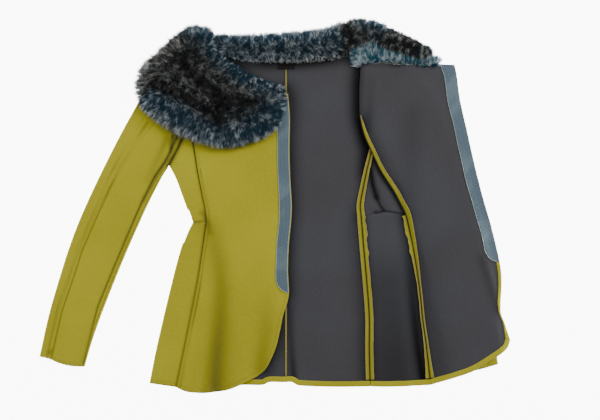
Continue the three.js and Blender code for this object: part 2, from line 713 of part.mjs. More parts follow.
const jacket = new THREE.Group();
const innerUp = ["back_left", "back_right", "side_left_lower", "side_left_upper", "front_left"];
for (const [name, rows] of Object.entries(pieces)) {
  const finish = innerUp.includes(name) ? COLOURS.innerCloth : COLOURS.outerCloth;
  jacket.add(meshOf(name, flatWall(rows, CLOTH), finish));
}
for (const [name, rows] of Object.entries(folded)) {
  jacket.add(meshOf(name, turnedWall(rows, CLOTH), COLOURS.outerCloth));
}
for (const [side, { under, upper }] of Object.entries(sleeves)) {
  jacket.add(meshOf(`sleeve_${side}_under`, turnedWall(under, CLOTH), COLOURS.outerCloth));
  jacket.add(meshOf(`sleeve_${side}_upper`, flatWall(upper, CLOTH), COLOURS.outerCloth));
}

// Seam allowances pressed open on the inner face of the left half, clear of the turned hem.
const WAIST_ROW = HEM_ROWS + LOWER_ROWS;
const HEM_CLEAR = HEM_ROWS + 0.012;
const allowance = { width: ALLOWANCE_WIDTH, thick: ALLOWANCE_THICK, set: SEAM_GAP };

// The front seam's allowances are pressed narrow in the middle of the skirt, and above the waist
// the front's own is the wider. Columns: row from the hem, front's width, side panel's width.
const FRONT_ALLOWANCES = [
  [0, 9.5, 9.5],
  [2, 6, 6],
  [4, 4, 3.6],
  [6, 4, 3.6],
  [8, ALLOWANCE_WIDTH, ALLOWANCE_WIDTH],
  [10, TURNED_ALLOWANCE, ALLOWANCE_WIDTH],
  [30, TURNED_ALLOWANCE, ALLOWANCE_WIDTH],
];
function frontAllowance(row, column) {
  const next = FRONT_ALLOWANCES.findIndex((entry) => entry[0] > row);
  const [a, b] = [FRONT_ALLOWANCES[next - 1], FRONT_ALLOWANCES[next]];
  return THREE.MathUtils.mapLinear(row, a[0], b[0], a[column], b[column]);
}

const strips = {
  back_seam_allowance_back: strip(pieces.back_left, "end", {
    ...allowance,
    from: HEM_CLEAR,
    to: WAIST_ROW + UPPER_ROWS * 0.9,
  }),
  back_seam_allowance_side_lower: strip(pieces.side_left_lower, "start", { ...allowance, from: HEM_CLEAR }),
  back_seam_allowance_side_upper: strip(pieces.side_left_upper, "start", {
    ...allowance,
    to: UPPER_ROWS * 0.9,
  }),
  front_seam_allowance_front: strip(pieces.front_left, "start", {
    ...allowance,
    width: (row) => frontAllowance(row, 1),
    from: HEM_CLEAR,
    to: WAIST_ROW + FRONT_TOP_ROWS * 0.68,
    clear: 0.5,
  }),
  front_seam_allowance_side: strip(pieces.side_left_lower, "end", {
    ...allowance,
    width: (row) => frontAllowance(row, 2),
    from: HEM_CLEAR,
  }),
};
const underLabel = (LABEL.top - LABEL.height - SEAM_GAP) / centreBack.getLength();
const centreBackSeam = {
  width: BACK_SEAM_WIDTH,
  thick: ALLOWANCE_THICK,
  from: HEM_CLEAR,
  to: HEM_ROWS + underLabel * (pieces.back_left.length - 1 - HEM_ROWS),
};
strips.centre_seam_allowance_left = strip(pieces.back_left, "start", centreBackSeam);
strips.centre_seam_allowance_right = strip(pieces.back_right, "end", centreBackSeam);

// The hem is turned up on the inner face, where the inner face is in sight.
const turnUp = { width: HEM_TURN, thick: ALLOWANCE_THICK };
strips.hem_back_left = strip(pieces.back_left, "bottom", turnUp);
strips.hem_back_right = strip(pieces.back_right, "bottom", turnUp);
strips.hem_side_left = strip(pieces.side_left_lower, "bottom", turnUp);
strips.hem_front_left = strip(pieces.front_left, "bottom", {
  ...turnUp,
  to: LEFT_FRONT_ACROSS.length - 1.2,
});

// The closure tapes: on the outer face of the right front and the inner face of the left front.
const TAPE_ROWS = { left: [6.55, 20], right: [6.95, 17.8] };
strips.closure_tape_left = tape(pieces.front_left, left.frontEdge, ...TAPE_ROWS.left);
strips.closure_tape_right = tape(pieces.front_right, right.frontEdge, ...TAPE_ROWS.right);
strips.front_edge_turn_left = strip(pieces.front_left, "end", {
  width: EDGE_TURN,
  thick: ALLOWANCE_THICK,
  from: HEM_CLEAR,
  to: TAPE_ROWS.left[0] - 0.03,
  clear: 0.6,
});

for (const [name, rows] of Object.entries(strips)) {
  const isTape = name.startsWith("closure_tape");
  const wall = flatWall(rows, isTape ? TAPE_THICK : ALLOWANCE_THICK);
  jacket.add(meshOf(name, wall, isTape ? COLOURS.tape : COLOURS.outerCloth));
}

jacket.add(meshOf("neck_label", neckLabel(), COLOURS.label));
jacket.add(meshOf("fur_collar_right", furRight(), COLOURS.darkFur));
jacket.add(meshOf("fur_collar_back", furBack(), COLOURS.fur));
jacket.add(meshOf("fur_collar_left_fall", furLeftFall(), COLOURS.darkFur));
jacket.add(meshOf("fur_collar_left_stand", furLeftStand(), COLOURS.fur));

// The origin is on the table under the middle of the laid garment.
const laid = new THREE.Box3().setFromObject(jacket);
const middle = laid.getCenter(new THREE.Vector3());
jacket.position.set(-middle.x, -middle.y, -laid.min.z);

export default jacket;
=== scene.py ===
# %% [markdown]
# # A fitted jacket with a faux fur collar, laid open on a table
# The jacket is cut from a bonded jersey with a chartreuse outer face and a dark grey inner face.
# It lies on its back. The wearer's right front is shut over the back, and the left front is thrown
# open, so its inner face, its pressed seam allowances and its closure tape are in sight.
# Every panel is worked out as a surface on a grid, in the same plan as the solid it stands for.

import bpy
import numpy as np
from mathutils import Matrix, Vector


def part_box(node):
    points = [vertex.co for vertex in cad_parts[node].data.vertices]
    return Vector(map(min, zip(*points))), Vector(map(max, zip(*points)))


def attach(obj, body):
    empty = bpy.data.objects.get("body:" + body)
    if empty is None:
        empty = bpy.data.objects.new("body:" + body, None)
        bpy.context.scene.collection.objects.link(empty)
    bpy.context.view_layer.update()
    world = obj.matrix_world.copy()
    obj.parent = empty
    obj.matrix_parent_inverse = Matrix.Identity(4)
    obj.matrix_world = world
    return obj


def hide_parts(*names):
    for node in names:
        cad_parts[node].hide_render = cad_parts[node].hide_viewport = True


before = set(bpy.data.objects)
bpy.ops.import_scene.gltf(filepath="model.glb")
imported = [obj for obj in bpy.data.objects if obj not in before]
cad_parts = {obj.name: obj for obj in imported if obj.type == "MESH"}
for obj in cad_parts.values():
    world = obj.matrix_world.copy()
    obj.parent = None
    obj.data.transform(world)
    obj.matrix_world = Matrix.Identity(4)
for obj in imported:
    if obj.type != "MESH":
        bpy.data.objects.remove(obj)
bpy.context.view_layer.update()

# %% [markdown]
# ## Where the pattern pieces lie
# The seams are drawn in millimetres from the centre back seam (x) and the hem (y), as a cutter
# would read them. The neck label sits across the centre back with its top 670 mm above the hem,
# so its solid tells how far that drawing is moved to reach the row's own origin.

# %% From the cutter's millimetres to the row's metres
LABEL_HALF, LABEL_BOTTOM, LABEL_TOP = 17, 657, 670
label_low, label_high = (np.array(corner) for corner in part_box("neck_label"))
SHIFT = np.array([(label_low[0] + label_high[0]) / 2, label_high[1] - LABEL_TOP / 1000, 0.0])


def to_row(points):
    """Points in the cutter's millimetres, given in the row's metres: divided by 1000 and moved."""
    return np.asarray(points, float) / 1000 + SHIFT


print("the drawing is moved by", SHIFT.round(4).tolist())

# %% [markdown]
# ## Camera and light
# The photograph looks straight down, and one of its pixels is 2.1 mm of cloth. The hem at the
# centre back is at its column 286 and row 382. A long lens three metres up keeps the view nearly
# parallel. Two big soft lamps at the sides leave a little shade
# in each trough, as in a studio for flat lays, and the pale surroundings fill the rest.

# %% Camera
PIXEL = 2.1
PHOTO_WIDTH, PHOTO_HEIGHT = 600, 420
HEM_COLUMN, HEM_ROW = 286, 382
FRAME_WIDTH = PHOTO_WIDTH * PIXEL / 1000
LENS, SENSOR = 85.0, 36.0
CLOTH_TOP = 0.004
camera = bpy.data.objects.new("camera", bpy.data.cameras.new("camera"))
camera.data.lens, camera.data.sensor_width = LENS, SENSOR
camera.data.clip_end = 20
centre_x, centre_y = PHOTO_WIDTH / 2 - HEM_COLUMN, HEM_ROW - PHOTO_HEIGHT / 2
view_centre = to_row([centre_x * PIXEL, centre_y * PIXEL, 0])
camera.location = view_centre + np.array([0, 0, LENS / SENSOR * FRAME_WIDTH + CLOTH_TOP])
bpy.context.collection.objects.link(camera)
bpy.context.scene.camera = camera
print("camera height", round(camera.location.z, 3))


# %% Light
def soft_lamp(name, place, aim, size, power):
    """A square area lamp at one place, turned to face another."""
    lamp = bpy.data.objects.new(name, bpy.data.lights.new(name, "AREA"))
    lamp.data.shape, lamp.data.size, lamp.data.energy = "SQUARE", size, power
    lamp.location = place
    toward = lamp.location.__class__(aim) - lamp.location
    lamp.rotation_euler = toward.to_track_quat("-Z", "Y").to_euler()
    bpy.context.collection.objects.link(lamp)


soft_lamp("lamp_right", (2.2, 1.5, 1.7), (0, 0, 0), 1.1, 70)
soft_lamp("lamp_left", (-2.4, 0.6, 1.7), (0, 0, 0), 1.2, 38)
world = bpy.data.worlds.new("studio")
world.use_nodes = True
bpy.context.scene.world = world
world.node_tree.nodes["Background"].inputs["Color"].default_value = (1, 1, 1, 1)
world.node_tree.nodes["Background"].inputs["Strength"].default_value = 0.55


# %% [markdown]
# ## Materials
# Colours are read as sRGB hex and turned to linear once. Knitted faces are too fine to show in a
# picture where a pixel is two millimetres, so each is drawn a few times coarser than it is.

# %% Colour and node helpers
def linear(code):
    """An sRGB hex colour as linear red, green, blue and alpha."""
    srgb = np.array([int(code[i : i + 2], 16) for i in (1, 3, 5)]) / 255
    low_part, high_part = srgb / 12.92, ((srgb + 0.055) / 1.055) ** 2.4
    return [*np.where(srgb <= 0.04045, low_part, high_part), 1.0]


def add_node(tree, kind, links=None, **settings):
    """Adds a node, sets its own settings or its input sockets, and links sockets to its inputs."""
    made = tree.nodes.new(kind)
    for key, value in settings.items():
        if hasattr(made, key):
            setattr(made, key, value)
        else:
            made.inputs[key.replace("_", " ")].default_value = value
    for key, source in (links or {}).items():
        tree.links.new(source, made.inputs[key])
    return made


def new_material(name, **shader):
    """A material with a Principled shader whose constant values are set on its own sockets."""
    material = bpy.data.materials.new(name)
    material.use_nodes = True
    tree = material.node_tree
    principled = tree.nodes["Principled BSDF"]
    for key, value in shader.items():
        principled.inputs[key.replace("_", " ")].default_value = value
    return material, tree, principled


def blend_colours(tree, share, first, second):
    """The socket of a colour that goes from the first to the second as share goes from 0 to 1. Each
    of the two is a hex code or another colour's socket."""
    mix = add_node(tree, "ShaderNodeMix", data_type="RGBA")
    tree.links.new(share, mix.inputs[0])
    for place, colour in ((6, first), (7, second)):
        if isinstance(colour, str):
            mix.inputs[place].default_value = linear(colour)
        else:
            tree.links.new(colour, mix.inputs[place])
    return mix.outputs[2]


# %% The two faces of the bonded jersey
def jersey(name, base, shade, light, painted_shade, pitch_mm, relief_mm, sheen):
    """Knit: faint wales along the cloth's own length, over broad cloudy change from handling. Shade is
    painted into the colour: folds, seams and places under edges and the fur are darkened towards the
    painted shade colour by a share of painted shade stored on each point."""
    material, tree, shader = new_material(
        name, Roughness=0.9, Specular_IOR_Level=0.12, Sheen_Weight=sheen, Sheen_Roughness=0.6
    )
    cloth = add_node(tree, "ShaderNodeUVMap", uv_map="cloth").outputs[0]
    spot = add_node(tree, "ShaderNodeTexCoord").outputs["Object"]
    cloud = add_node(tree, "ShaderNodeTexNoise", {"Vector": spot}, Scale=5.0, Detail=2.0)
    grain = add_node(tree, "ShaderNodeTexNoise", {"Vector": cloth}, Scale=1000 / (3 * pitch_mm), Detail=2.0)
    wales = add_node(
        tree, "ShaderNodeTexWave", {"Vector": cloth}, wave_type="BANDS", bands_direction="X",
        Scale=1000 / pitch_mm / 20, Distortion=1.2, Detail=1.0,
    )
    clouds = add_node(tree, "ShaderNodeMapRange", {"Value": cloud.outputs[0]}, From_Min=0.35, From_Max=0.65)
    tone = blend_colours(tree, clouds.outputs[0], shade, base)
    flecks = add_node(
        tree, "ShaderNodeMapRange", {"Value": grain.outputs[0]}, From_Min=0.5, From_Max=0.8, To_Max=0.3
    )
    flecked = blend_colours(tree, flecks.outputs[0], tone, light)
    # Painted shade: the colour is darkened towards the painted shade colour by the share stored on each
    # point.
    painted_shade_share = add_node(tree, "ShaderNodeAttribute", attribute_name="painted_shade_share")
    shaded_colour = blend_colours(tree, painted_shade_share.outputs["Fac"], flecked, painted_shade)
    tree.links.new(shaded_colour, shader.inputs["Base Color"])
    both = add_node(tree, "ShaderNodeMath", {0: wales.outputs[1], 1: grain.outputs[0]}, operation="ADD")
    bump = add_node(tree, "ShaderNodeBump", {"Height": both.outputs[0]}, Strength=0.35)
    bump.inputs["Distance"].default_value = relief_mm / 1000
    tree.links.new(bump.outputs[0], shader.inputs["Normal"])
    return material


# The fourth colour of each face is its painted shade colour, which folds, seams and places under edges and
# the fur are darkened towards.
OUTER_FACE = jersey("bonded_jersey_chartreuse", "#A69F22", "#9C941D", "#B3AC36", "#1B1A0D", 2.4, 0.35, 0.08)
INNER_FACE = jersey("bonded_jersey_dark_grey", "#444549", "#413F42", "#4C4D51", "#010101", 2.4, 0.35, 0.0)


# %% Tape, threads, label and fur
def woven(name, base, light, pitch_mm, roughness, relief_mm, sheen=0.1, pale_bands=None):
    """Plain weave or cord: two crossed sets of fine ribs that catch the light on their tops. A paler
    colour goes over it in uneven bands about 40 mm apart."""
    material, tree, shader = new_material(
        name, Roughness=roughness, Specular_IOR_Level=0.35, Sheen_Weight=sheen, Sheen_Roughness=0.5
    )
    cloth = add_node(tree, "ShaderNodeUVMap", uv_map="cloth").outputs[0]
    ribs = [
        add_node(
            tree, "ShaderNodeTexWave", {"Vector": cloth}, wave_type="BANDS", bands_direction=axis,
            Scale=1000 / pitch_mm / 20, Distortion=2.0, Detail=2.0, Detail_Scale=2.0,
        ).outputs[1]
        for axis in "XY"
    ]
    loops = add_node(tree, "ShaderNodeMath", {0: ribs[0], 1: ribs[1]}, operation="MULTIPLY")
    speck = add_node(tree, "ShaderNodeTexNoise", {"Vector": cloth}, Scale=1000 / (2 * pitch_mm), Detail=3.0)
    mixed = add_node(tree, "ShaderNodeMath", {0: loops.outputs[0], 1: speck.outputs[0]}, operation="MULTIPLY")
    colour = blend_colours(tree, mixed.outputs[0], base, light)
    if pale_bands:
        bands = add_node(
            tree, "ShaderNodeTexWave", {"Vector": cloth}, wave_type="BANDS", bands_direction="Y",
            Scale=2.2, Distortion=7.0, Detail=2.0, Detail_Scale=5.0,
        )
        band_share = add_node(
            tree, "ShaderNodeMapRange", {"Value": bands.outputs[1]}, From_Min=0.5, From_Max=1.0, To_Max=0.24
        )
        colour = blend_colours(tree, band_share.outputs[0], colour, pale_bands)
    tree.links.new(colour, shader.inputs["Base Color"])
    bump = add_node(tree, "ShaderNodeBump", {"Height": mixed.outputs[0]}, Strength=0.5)
    bump.inputs["Distance"].default_value = relief_mm / 1000
    tree.links.new(bump.outputs[0], shader.inputs["Normal"])
    return material


TAPE = woven("closure_tape_steel_blue", "#4C5E69", "#5F707A", 1.1, 0.75, 0.2, 0.1, "#7C8D95")
OVERLOCK = woven("overlock_thread_tan", "#AFA062", "#CCBE84", 0.8, 0.6, 0.1)
# The olive thread is drawn darker than the cloth: the thread's own colour and the painted shade of its stitch
# line in one.
STITCH = woven("polyester_thread_olive", "#7E7420", "#948A2B", 0.5, 0.5, 0.05)
PALE_STITCH = woven("polyester_thread_pale", "#BCCFCA", "#DCE7E2", 0.5, 0.5, 0.05)
SEAM_CORD = woven("seam_binding_olive", "#857A38", "#A5984E", 0.8, 0.7, 0.1)
LABEL = woven("woven_label_dark_brown", "#0C0706", "#33261F", 1.2, 0.85, 0.1, 0.0)


def pile_material(name):
    """Acrylic pile: each fibre's colour is stored on its points, dark at the root and pale at the tip."""
    material, tree, shader = new_material(
        name, Roughness=0.55, Specular_IOR_Level=0.35, Sheen_Weight=0.1, Sheen_Roughness=0.4
    )
    colour = add_node(tree, "ShaderNodeAttribute", attribute_name="pile")
    tree.links.new(colour.outputs["Color"], shader.inputs["Base Color"])
    return material


PILE = pile_material("acrylic_pile")
BACKING = woven("knitted_fur_backing_black", "#14171A", "#23282B", 1.5, 0.9, 0.3, 0.0)
print("materials:", len(bpy.data.materials))


# %% [markdown]
# ## Seams as splines
# A seam is a smooth curve through measured points: between two points it is a cubic whose
# slope at each one is half the step from the point before to the point after. It is then read at
# equal shares of its length, so that two panels which share a seam get the same points.

# %% Splines
def spline(rows, shares):
    """Catmull-Rom cubics through the rows, read at shares of the arc length."""
    p = np.array(rows, float)
    ends = np.vstack([p[:1], p, p[-1:]])
    p0, p1, p2, p3 = (ends[k : len(p) - 1 + k][:, None] for k in range(4))
    t = np.linspace(0, 1, 24, endpoint=False)[None, :, None]
    out, into = (p2 - p0) / 2, (p3 - p1) / 2
    cubic = (2 * (p1 - p2) + out + into) * t**3 + (3 * (p2 - p1) - 2 * out - into) * t**2 + out * t + p1
    fine = np.vstack([cubic.reshape(-1, 2), p[-1:]])
    run = np.concatenate([[0], np.cumsum(np.linalg.norm(np.diff(fine, axis=0), axis=1))])
    return np.column_stack([np.interp(shares, run / run[-1], fine[:, k]) for k in (0, 1)])


def evenly(steps):
    """Equal shares from 0 to 1, one more than the steps between them."""
    return np.linspace(0, 1, steps + 1)


def joined(*lengths):
    """Lengths of seam end to end, each shared point once."""
    return np.vstack([lengths[0], *(part[1:] for part in lengths[1:])])


# %% The seams as they lie, in millimetres (x, y)
CENTRE_BACK = [(0, 0), (0, 671)]
LEFT = {
    "back_seam_lower": [(177, -9), (175, 67), (175, 136), (170, 206), (163, 284), (158, 346)],
    "back_seam_upper": [(158, 346), (156, 372), (162, 407), (172, 454), (189, 517), (207, 556)],
    "armhole": [(207, 556), (212, 588), (231, 617), (267, 640)],
    "underarm": [(231, 460), (216, 491), (209, 523), (207, 556)],
    "front_seam_lower": [(304, -6), (294, 82), (287, 132), (282, 183), (273, 248), (262, 307), (252, 350)],
    "front_seam_upper": [
        (252, 350), (240, 375), (226, 401), (199, 443), (178, 487), (165, 516), (157, 546), (155, 571),
        (155, 620), (158, 668),
    ],
    "front_edge": [
        (471, 88), (458, 126), (450, 151), (453, 208), (449, 250), (432, 323), (412, 391), (395, 458),
        (380, 525), (365, 592), (358, 643), (353, 666),
    ],
    "front_neck": [(158, 668), (202, 669), (237, 665), (271, 664), (319, 665), (353, 666)],
    "front_hem": [(304, -6), (351, 9), (395, 25), (439, 52), (464, 71), (471, 88)],
    "side_hem": [(177, -9), (208, -10), (239, -9), (304, -6)],
    "side_waist": [(158, 346), (181, 352), (210, 356), (252, 350)],
    "side_under_front": [(252, 350), (241, 376), (236, 403), (231, 435), (227.3, 467.2)],
    "back_hem": [(0, 0), (13, 0), (27, -7), (71, -9), (124, -10), (177, -9)],
    "back_top": [
        (0, 671), (29, 671), (78, 674), (107, 679), (134, 685), (160, 660), (208, 651), (263, 637.5),
    ],
    "sleeve_outer": [(445, 38), (421, 193), (393, 319), (357, 433), (321, 542), (296, 603), (267, 640)],
    "sleeve_inner": [(355, 20), (319, 185), (284, 302), (250, 399), (231, 460)],
    "cuff": [(445, 38), (397, 25), (355, 20)],
}
RIGHT = {
    "back_seam_lower": [(-177, -9), (-175, 88), (-170, 206), (-163, 284), (-158, 336)],
    "back_seam_upper": [(-158, 336), (-159, 372), (-162, 407), (-172, 454), (-187, 508), (-203, 556)],
    "side_fold_lower": [
        (-286, -2), (-275, 55), (-260, 122), (-244, 189), (-227, 256), (-212, 304), (-197, 336),
    ],
    "side_fold_upper": [(-197, 336), (-206, 361), (-217, 391), (-230, 426), (-245.5, 456.3)],
    "front_seam_lower": [(-231, -10), (-211, 86), (-193, 167), (-184, 225), (-174, 294), (-168, 336)],
    "front_seam_upper": [(-168, 336), (-171, 365), (-178, 397), (-187, 445), (-195, 496), (-203, 556)],
    "armhole": [(-203, 556), (-210, 590), (-229, 620), (-252, 643)],
    "underarm": [(-250, 448), (-229, 487), (-213, 523), (-203, 556)],
    "front_hem": [(-231, -10), (-208, -20), (-176, -22), (-147, -20), (-122, -16), (-94, -5), (-61, 12)],
    "front_edge": [
        (-61, 12), (-44, 26), (-32, 47), (-21, 74), (-13, 107), (-6, 141), (2, 166), (6, 189), (4, 235),
        (6, 290), (12, 361), (9, 424), (7, 487), (8, 554), (4, 604),
    ],
    "front_top": [(-248.5, 640.5), (-191, 660), (-140, 664), (-76, 632), (4, 604)],
    "back_hem": [(-177, -9), (-90, -6), (-50, -6), (-34, 0), (0, 0)],
    "back_top": [(-248.5, 640.5), (-134, 687), (-97, 676), (-50, 672), (0, 671)],
    "side_hem_under": [(-286, -2), (-177, -9)],
    "side_hem_over": [(-286, -2), (-231, -10)],
    "waist_under": [(-197, 336), (-158, 336)],
    "waist_over": [(-197, 336), (-168, 336)],
    "sleeve_outer": [
        (-517, 54), (-498, 139), (-479, 206), (-458, 273), (-433, 340), (-395, 424), (-353, 508),
        (-323, 563), (-296, 607), (-252, 643),
    ],
    "sleeve_inner": [
        (-423, 33), (-407, 88), (-383, 155), (-342.5, 256), (-298, 357), (-264.5, 424), (-250, 448),
    ],
    "cuff": [(-517, 54), (-496, 49), (-475, 40), (-449, 34), (-423, 33)],
}
print("seams:", len(LEFT) + len(RIGHT) + 1)
LEFT["centre_back"] = RIGHT["centre_back"] = CENTRE_BACK

# %% [markdown]
# ## How high each layer lies
# Cloth two millimetres thick lies on the table, and a second layer lies on the first. Soft flare
# folds stand up from the hem where the skirt is wider than the table under it. Smaller creases
# are placed one by one, each as a line with a width and a height: a height below zero is a trough.

# %% Heights as functions of the plan
CLOTH = 2.0
TABLE_LAYER, UPPER_LAYER = 1.0, 5.0
SLEEVE_EDGE, SLEEVE_CROWN = 5.6, 1.2
OVER_SLEEVE, SLEEVE_RAMP, SLEEVE_MARGIN = 10.2, 34.0, 4.0
TURNED_EDGE, EDGE_ROLL = 6.5, 2.6
TAPE_WIDTH, TAPE_THICK = 25.0, 1.0
STRIP_THICK, HEM_TURN = 1.2, 11.0


def smooth(t):
    """A smooth step: 3 t squared minus 2 t cubed, held at 0 and 1 outside."""
    t = np.clip(t, 0, 1)
    return t * t * (3 - 2 * t)


def flares(rows, x, y):
    """Squared cosine crests that fade from the hem up. Columns: x at the hem, x at the top, y of
    each, half width, height."""
    total = np.zeros_like(x)
    for hem_x, top_x, hem_y, top_y, half, height in rows:
        along = (y - hem_y) / (top_y - hem_y)
        across = np.abs(x - (hem_x + (top_x - hem_x) * along)) / half
        crest = np.cos(np.clip(across, 0, 1) * np.pi / 2) ** 2
        total += height * crest * smooth(1 - np.clip(along, 0, 1))
    return total


def creases(rows, x, y):
    """Gaussian ridges along straight lines. Columns: x and y of both ends, half width, height at
    both ends."""
    total = np.zeros_like(x)
    for x0, y0, x1, y1, half, start, end in rows:
        run = np.hypot(x1 - x0, y1 - y0)
        ux, uy = (x1 - x0) / run, (y1 - y0) / run
        along = (x - x0) * ux + (y - y0) * uy
        across = (x - x0) * uy - (y - y0) * ux
        past = np.maximum(np.maximum(-along, along - run), 0)
        height = start + (end - start) * np.clip(along / run, 0, 1)
        total += height * np.exp(-(across**2 + past**2) / half**2)
    return total


def width_at(*curves):
    """The x of a curve that climbs in y, as a function of y."""
    points = joined(*(spline(curve, evenly(60)) for curve in curves))
    return lambda y: np.interp(y, points[:, 1], points[:, 0])


inner_edge = width_at(LEFT["sleeve_inner"], LEFT["underarm"], LEFT["armhole"])
outer_edge = width_at(LEFT["sleeve_outer"])
front_seam_x = width_at(LEFT["front_seam_lower"])


def seam_rise(y):
    """The height of the left front's seam: a smooth rise from the table, from 300 to 420 mm."""
    return TABLE_LAYER + (TURNED_EDGE - TABLE_LAYER) * smooth((y - 300) / 120)


RIGHT_FLARES = [(-172, -162, -20, 310, 26, 6.5), (-97, -97, -5, 300, 38, 4)]
RIGHT_CREASES = [
    (-120, 250, -96, 330, 24, -0.6, -1.2),
    (-150, 330, -60, 300, 22, 0.8, 0.3),
    (-100, 460, -20, 400, 30, 0.6, 0.4),
    (-38, 60, -18, 150, 16, 0.8, 0.8),
    (-24, 330, 0, 318, 9, 0.5, 0.8),
    (-22, 410, 4, 404, 8, -0.5, -0.5),
    (-24, 478, 2, 470, 10, 0.6, 0.5),
    (-186, 420, -150, 460, 14, 0.9, 0.2),
]
BACK_FLARES = [(-12, -12, 0, 150, 21, 3.6), (84, 80, -9, 420, 52, 3.4)]
BACK_CREASES = [
    (12, 8, 8, 96, 7, -1.2, -0.6),
    (-24, 4, -22, 100, 5, 0.7, 0.2),
    (40, 560, 120, 610, 36, 0.8, 0.4),
    (150, 500, 150, 640, 22, 1.0, 0.7),
    (60, 380, 130, 440, 34, 0.6, 0.6),
]
SIDE_FLARES = [(252, 236, -9, 330, 24, 4)]
SIDE_CREASES = [
    (268, 40, 256, 190, 9, -1.2, -0.7),
    (190, 20, 200, 190, 14, 0.8, 0.5),
    (216, 340, 214, 290, 10, 0.9, 0.2),
    (180, 340, 186, 300, 7, -0.8, -0.2),
    (238, 338, 236, 306, 6, -0.7, -0.2),
]
UPPER_SIDE_CREASES = [
    (181, 448, 188, 392, 5.5, -0.6, -2.0),
    (188, 392, 208, 360, 5.5, -2.0, -1.2),
    (172, 372, 196, 364, 9, 1.8, 1.2),
    (202, 400, 216, 372, 9, 1.8, 1.0),
    (228, 362, 246, 356, 5, 1.0, 0.5),
]
LEFT_FRONT_CREASES = [
    (412, 262, 446, 156, 9, 1.6, 2.2),
    (398, 250, 430, 150, 11, -0.8, -1.0),
    (290, 90, 300, 170, 12, 0.8, 0.4),
    (330, 60, 350, 160, 20, 0.9, 0.3),
    (200, 560, 206, 640, 14, -1.2, -0.8),
    (230, 520, 300, 560, 40, 0.6, 0.5),
    (280, 420, 350, 470, 36, -0.5, 0.5),
    (372, 620, 340, 606, 9, 0.9, 0.2),
    (386, 520, 362, 528, 8, 0.8, 0.1),
    (408, 420, 386, 430, 8, 0.7, 0.1),
]


def right_front_height(x, y):
    """The upper layer's height, with the flares and creases of the shut front added."""
    return UPPER_LAYER + flares(RIGHT_FLARES, x, y) + creases(RIGHT_CREASES, x, y)


def back_height(x, y):
    """The table's height, with what the folds add where that is above zero."""
    return TABLE_LAYER + np.maximum(flares(BACK_FLARES, x, y) + creases(BACK_CREASES, x, y), 0)


def side_height(x, y):
    """As the back's, and rising within 60 mm of the front seam to that seam's height."""
    lift = (seam_rise(y) - TABLE_LAYER) * smooth((x - front_seam_x(y) + 60) / 60)
    fold = flares(SIDE_FLARES, x, y) + creases(SIDE_CREASES, x, y)
    return TABLE_LAYER + np.maximum(fold, 0) + lift


def upper_side_height(x, y):
    """The panel is slack here, so it humps up on both sides of one sharp crescent fold."""
    slack = 1.4 * smooth((y - 350) / 30) * smooth((470 - y) / 60) * smooth((x - 166) / 20)
    return TABLE_LAYER + np.maximum(slack + creases(UPPER_SIDE_CREASES, x, y), 0)


def left_front_height(x, y):
    """At rest height beside the hidden sleeve, and climbing over it by smooth ramps on all four sides."""
    room = np.clip(inner_edge(y) - front_seam_x(y) - SLEEVE_MARGIN, 10, SLEEVE_RAMP)
    first = np.where(y < 420, room, SLEEVE_RAMP)
    climb = 1 - smooth((inner_edge(y) - x - SLEEVE_MARGIN) / first)
    for outside in (x - outer_edge(y), 22 - y, y - 643):
        climb = np.minimum(climb, 1 - smooth((outside - SLEEVE_MARGIN) / SLEEVE_RAMP))
    rest = seam_rise(y)
    fold = creases(LEFT_FRONT_CREASES, x, y)
    return rest + np.maximum(OVER_SLEEVE - rest, 0) * climb + np.where(fold < 0, fold * 0.6, fold)


print("flares and creases:", sum(map(len, (RIGHT_FLARES, RIGHT_CREASES, BACK_FLARES, BACK_CREASES))))


# %% Painted shade: how much darker a point is drawn, in a fold or under an edge
def distance_to(line, plan):
    """The distance in plan from each point to a line of points, the least over its pieces, and the
    share of the line at which it is found."""
    best, where = np.full(plan.shape[:-1], np.inf), np.zeros(plan.shape[:-1])
    corners = np.array(line, float)
    for k, (start, step) in enumerate(zip(corners[:-1], np.diff(corners, axis=0))):
        share = np.clip(((plan - start) @ step) / (step @ step), 0, 1)
        distance = np.linalg.norm(plan - start - share[..., None] * step, axis=-1)
        where = np.where(distance < best, (k + share) / (len(corners) - 1), where)
        best = np.minimum(best, distance)
    return best, where


def painted_shade_bands(rows, plan):
    """Painted shade in Gaussian bands along lines, each multiplied into what the others leave unshaded.
    Columns: line, half width, share of painted shade at the line's start and end."""
    light = np.ones(plan.shape[:-1])
    for line, half, start, end in rows:
        distance, where = distance_to(line, plan)
        light *= 1 - (start + (end - start) * where) * np.exp(-((distance / half) ** 2))
    return 1 - light


# Painted shade, as bands along lines: troughs, seam grooves and stitch lines, and the shadows that the turned
# front edge, the seams' edges and the fur collar cast, all darkened into the cloth's colour.
RIGHT_SEAM_LINE = [(-203, 556), (-187, 445), (-171, 365), (-168, 336), (-184, 225), (-211, 86), (-231, -10)]
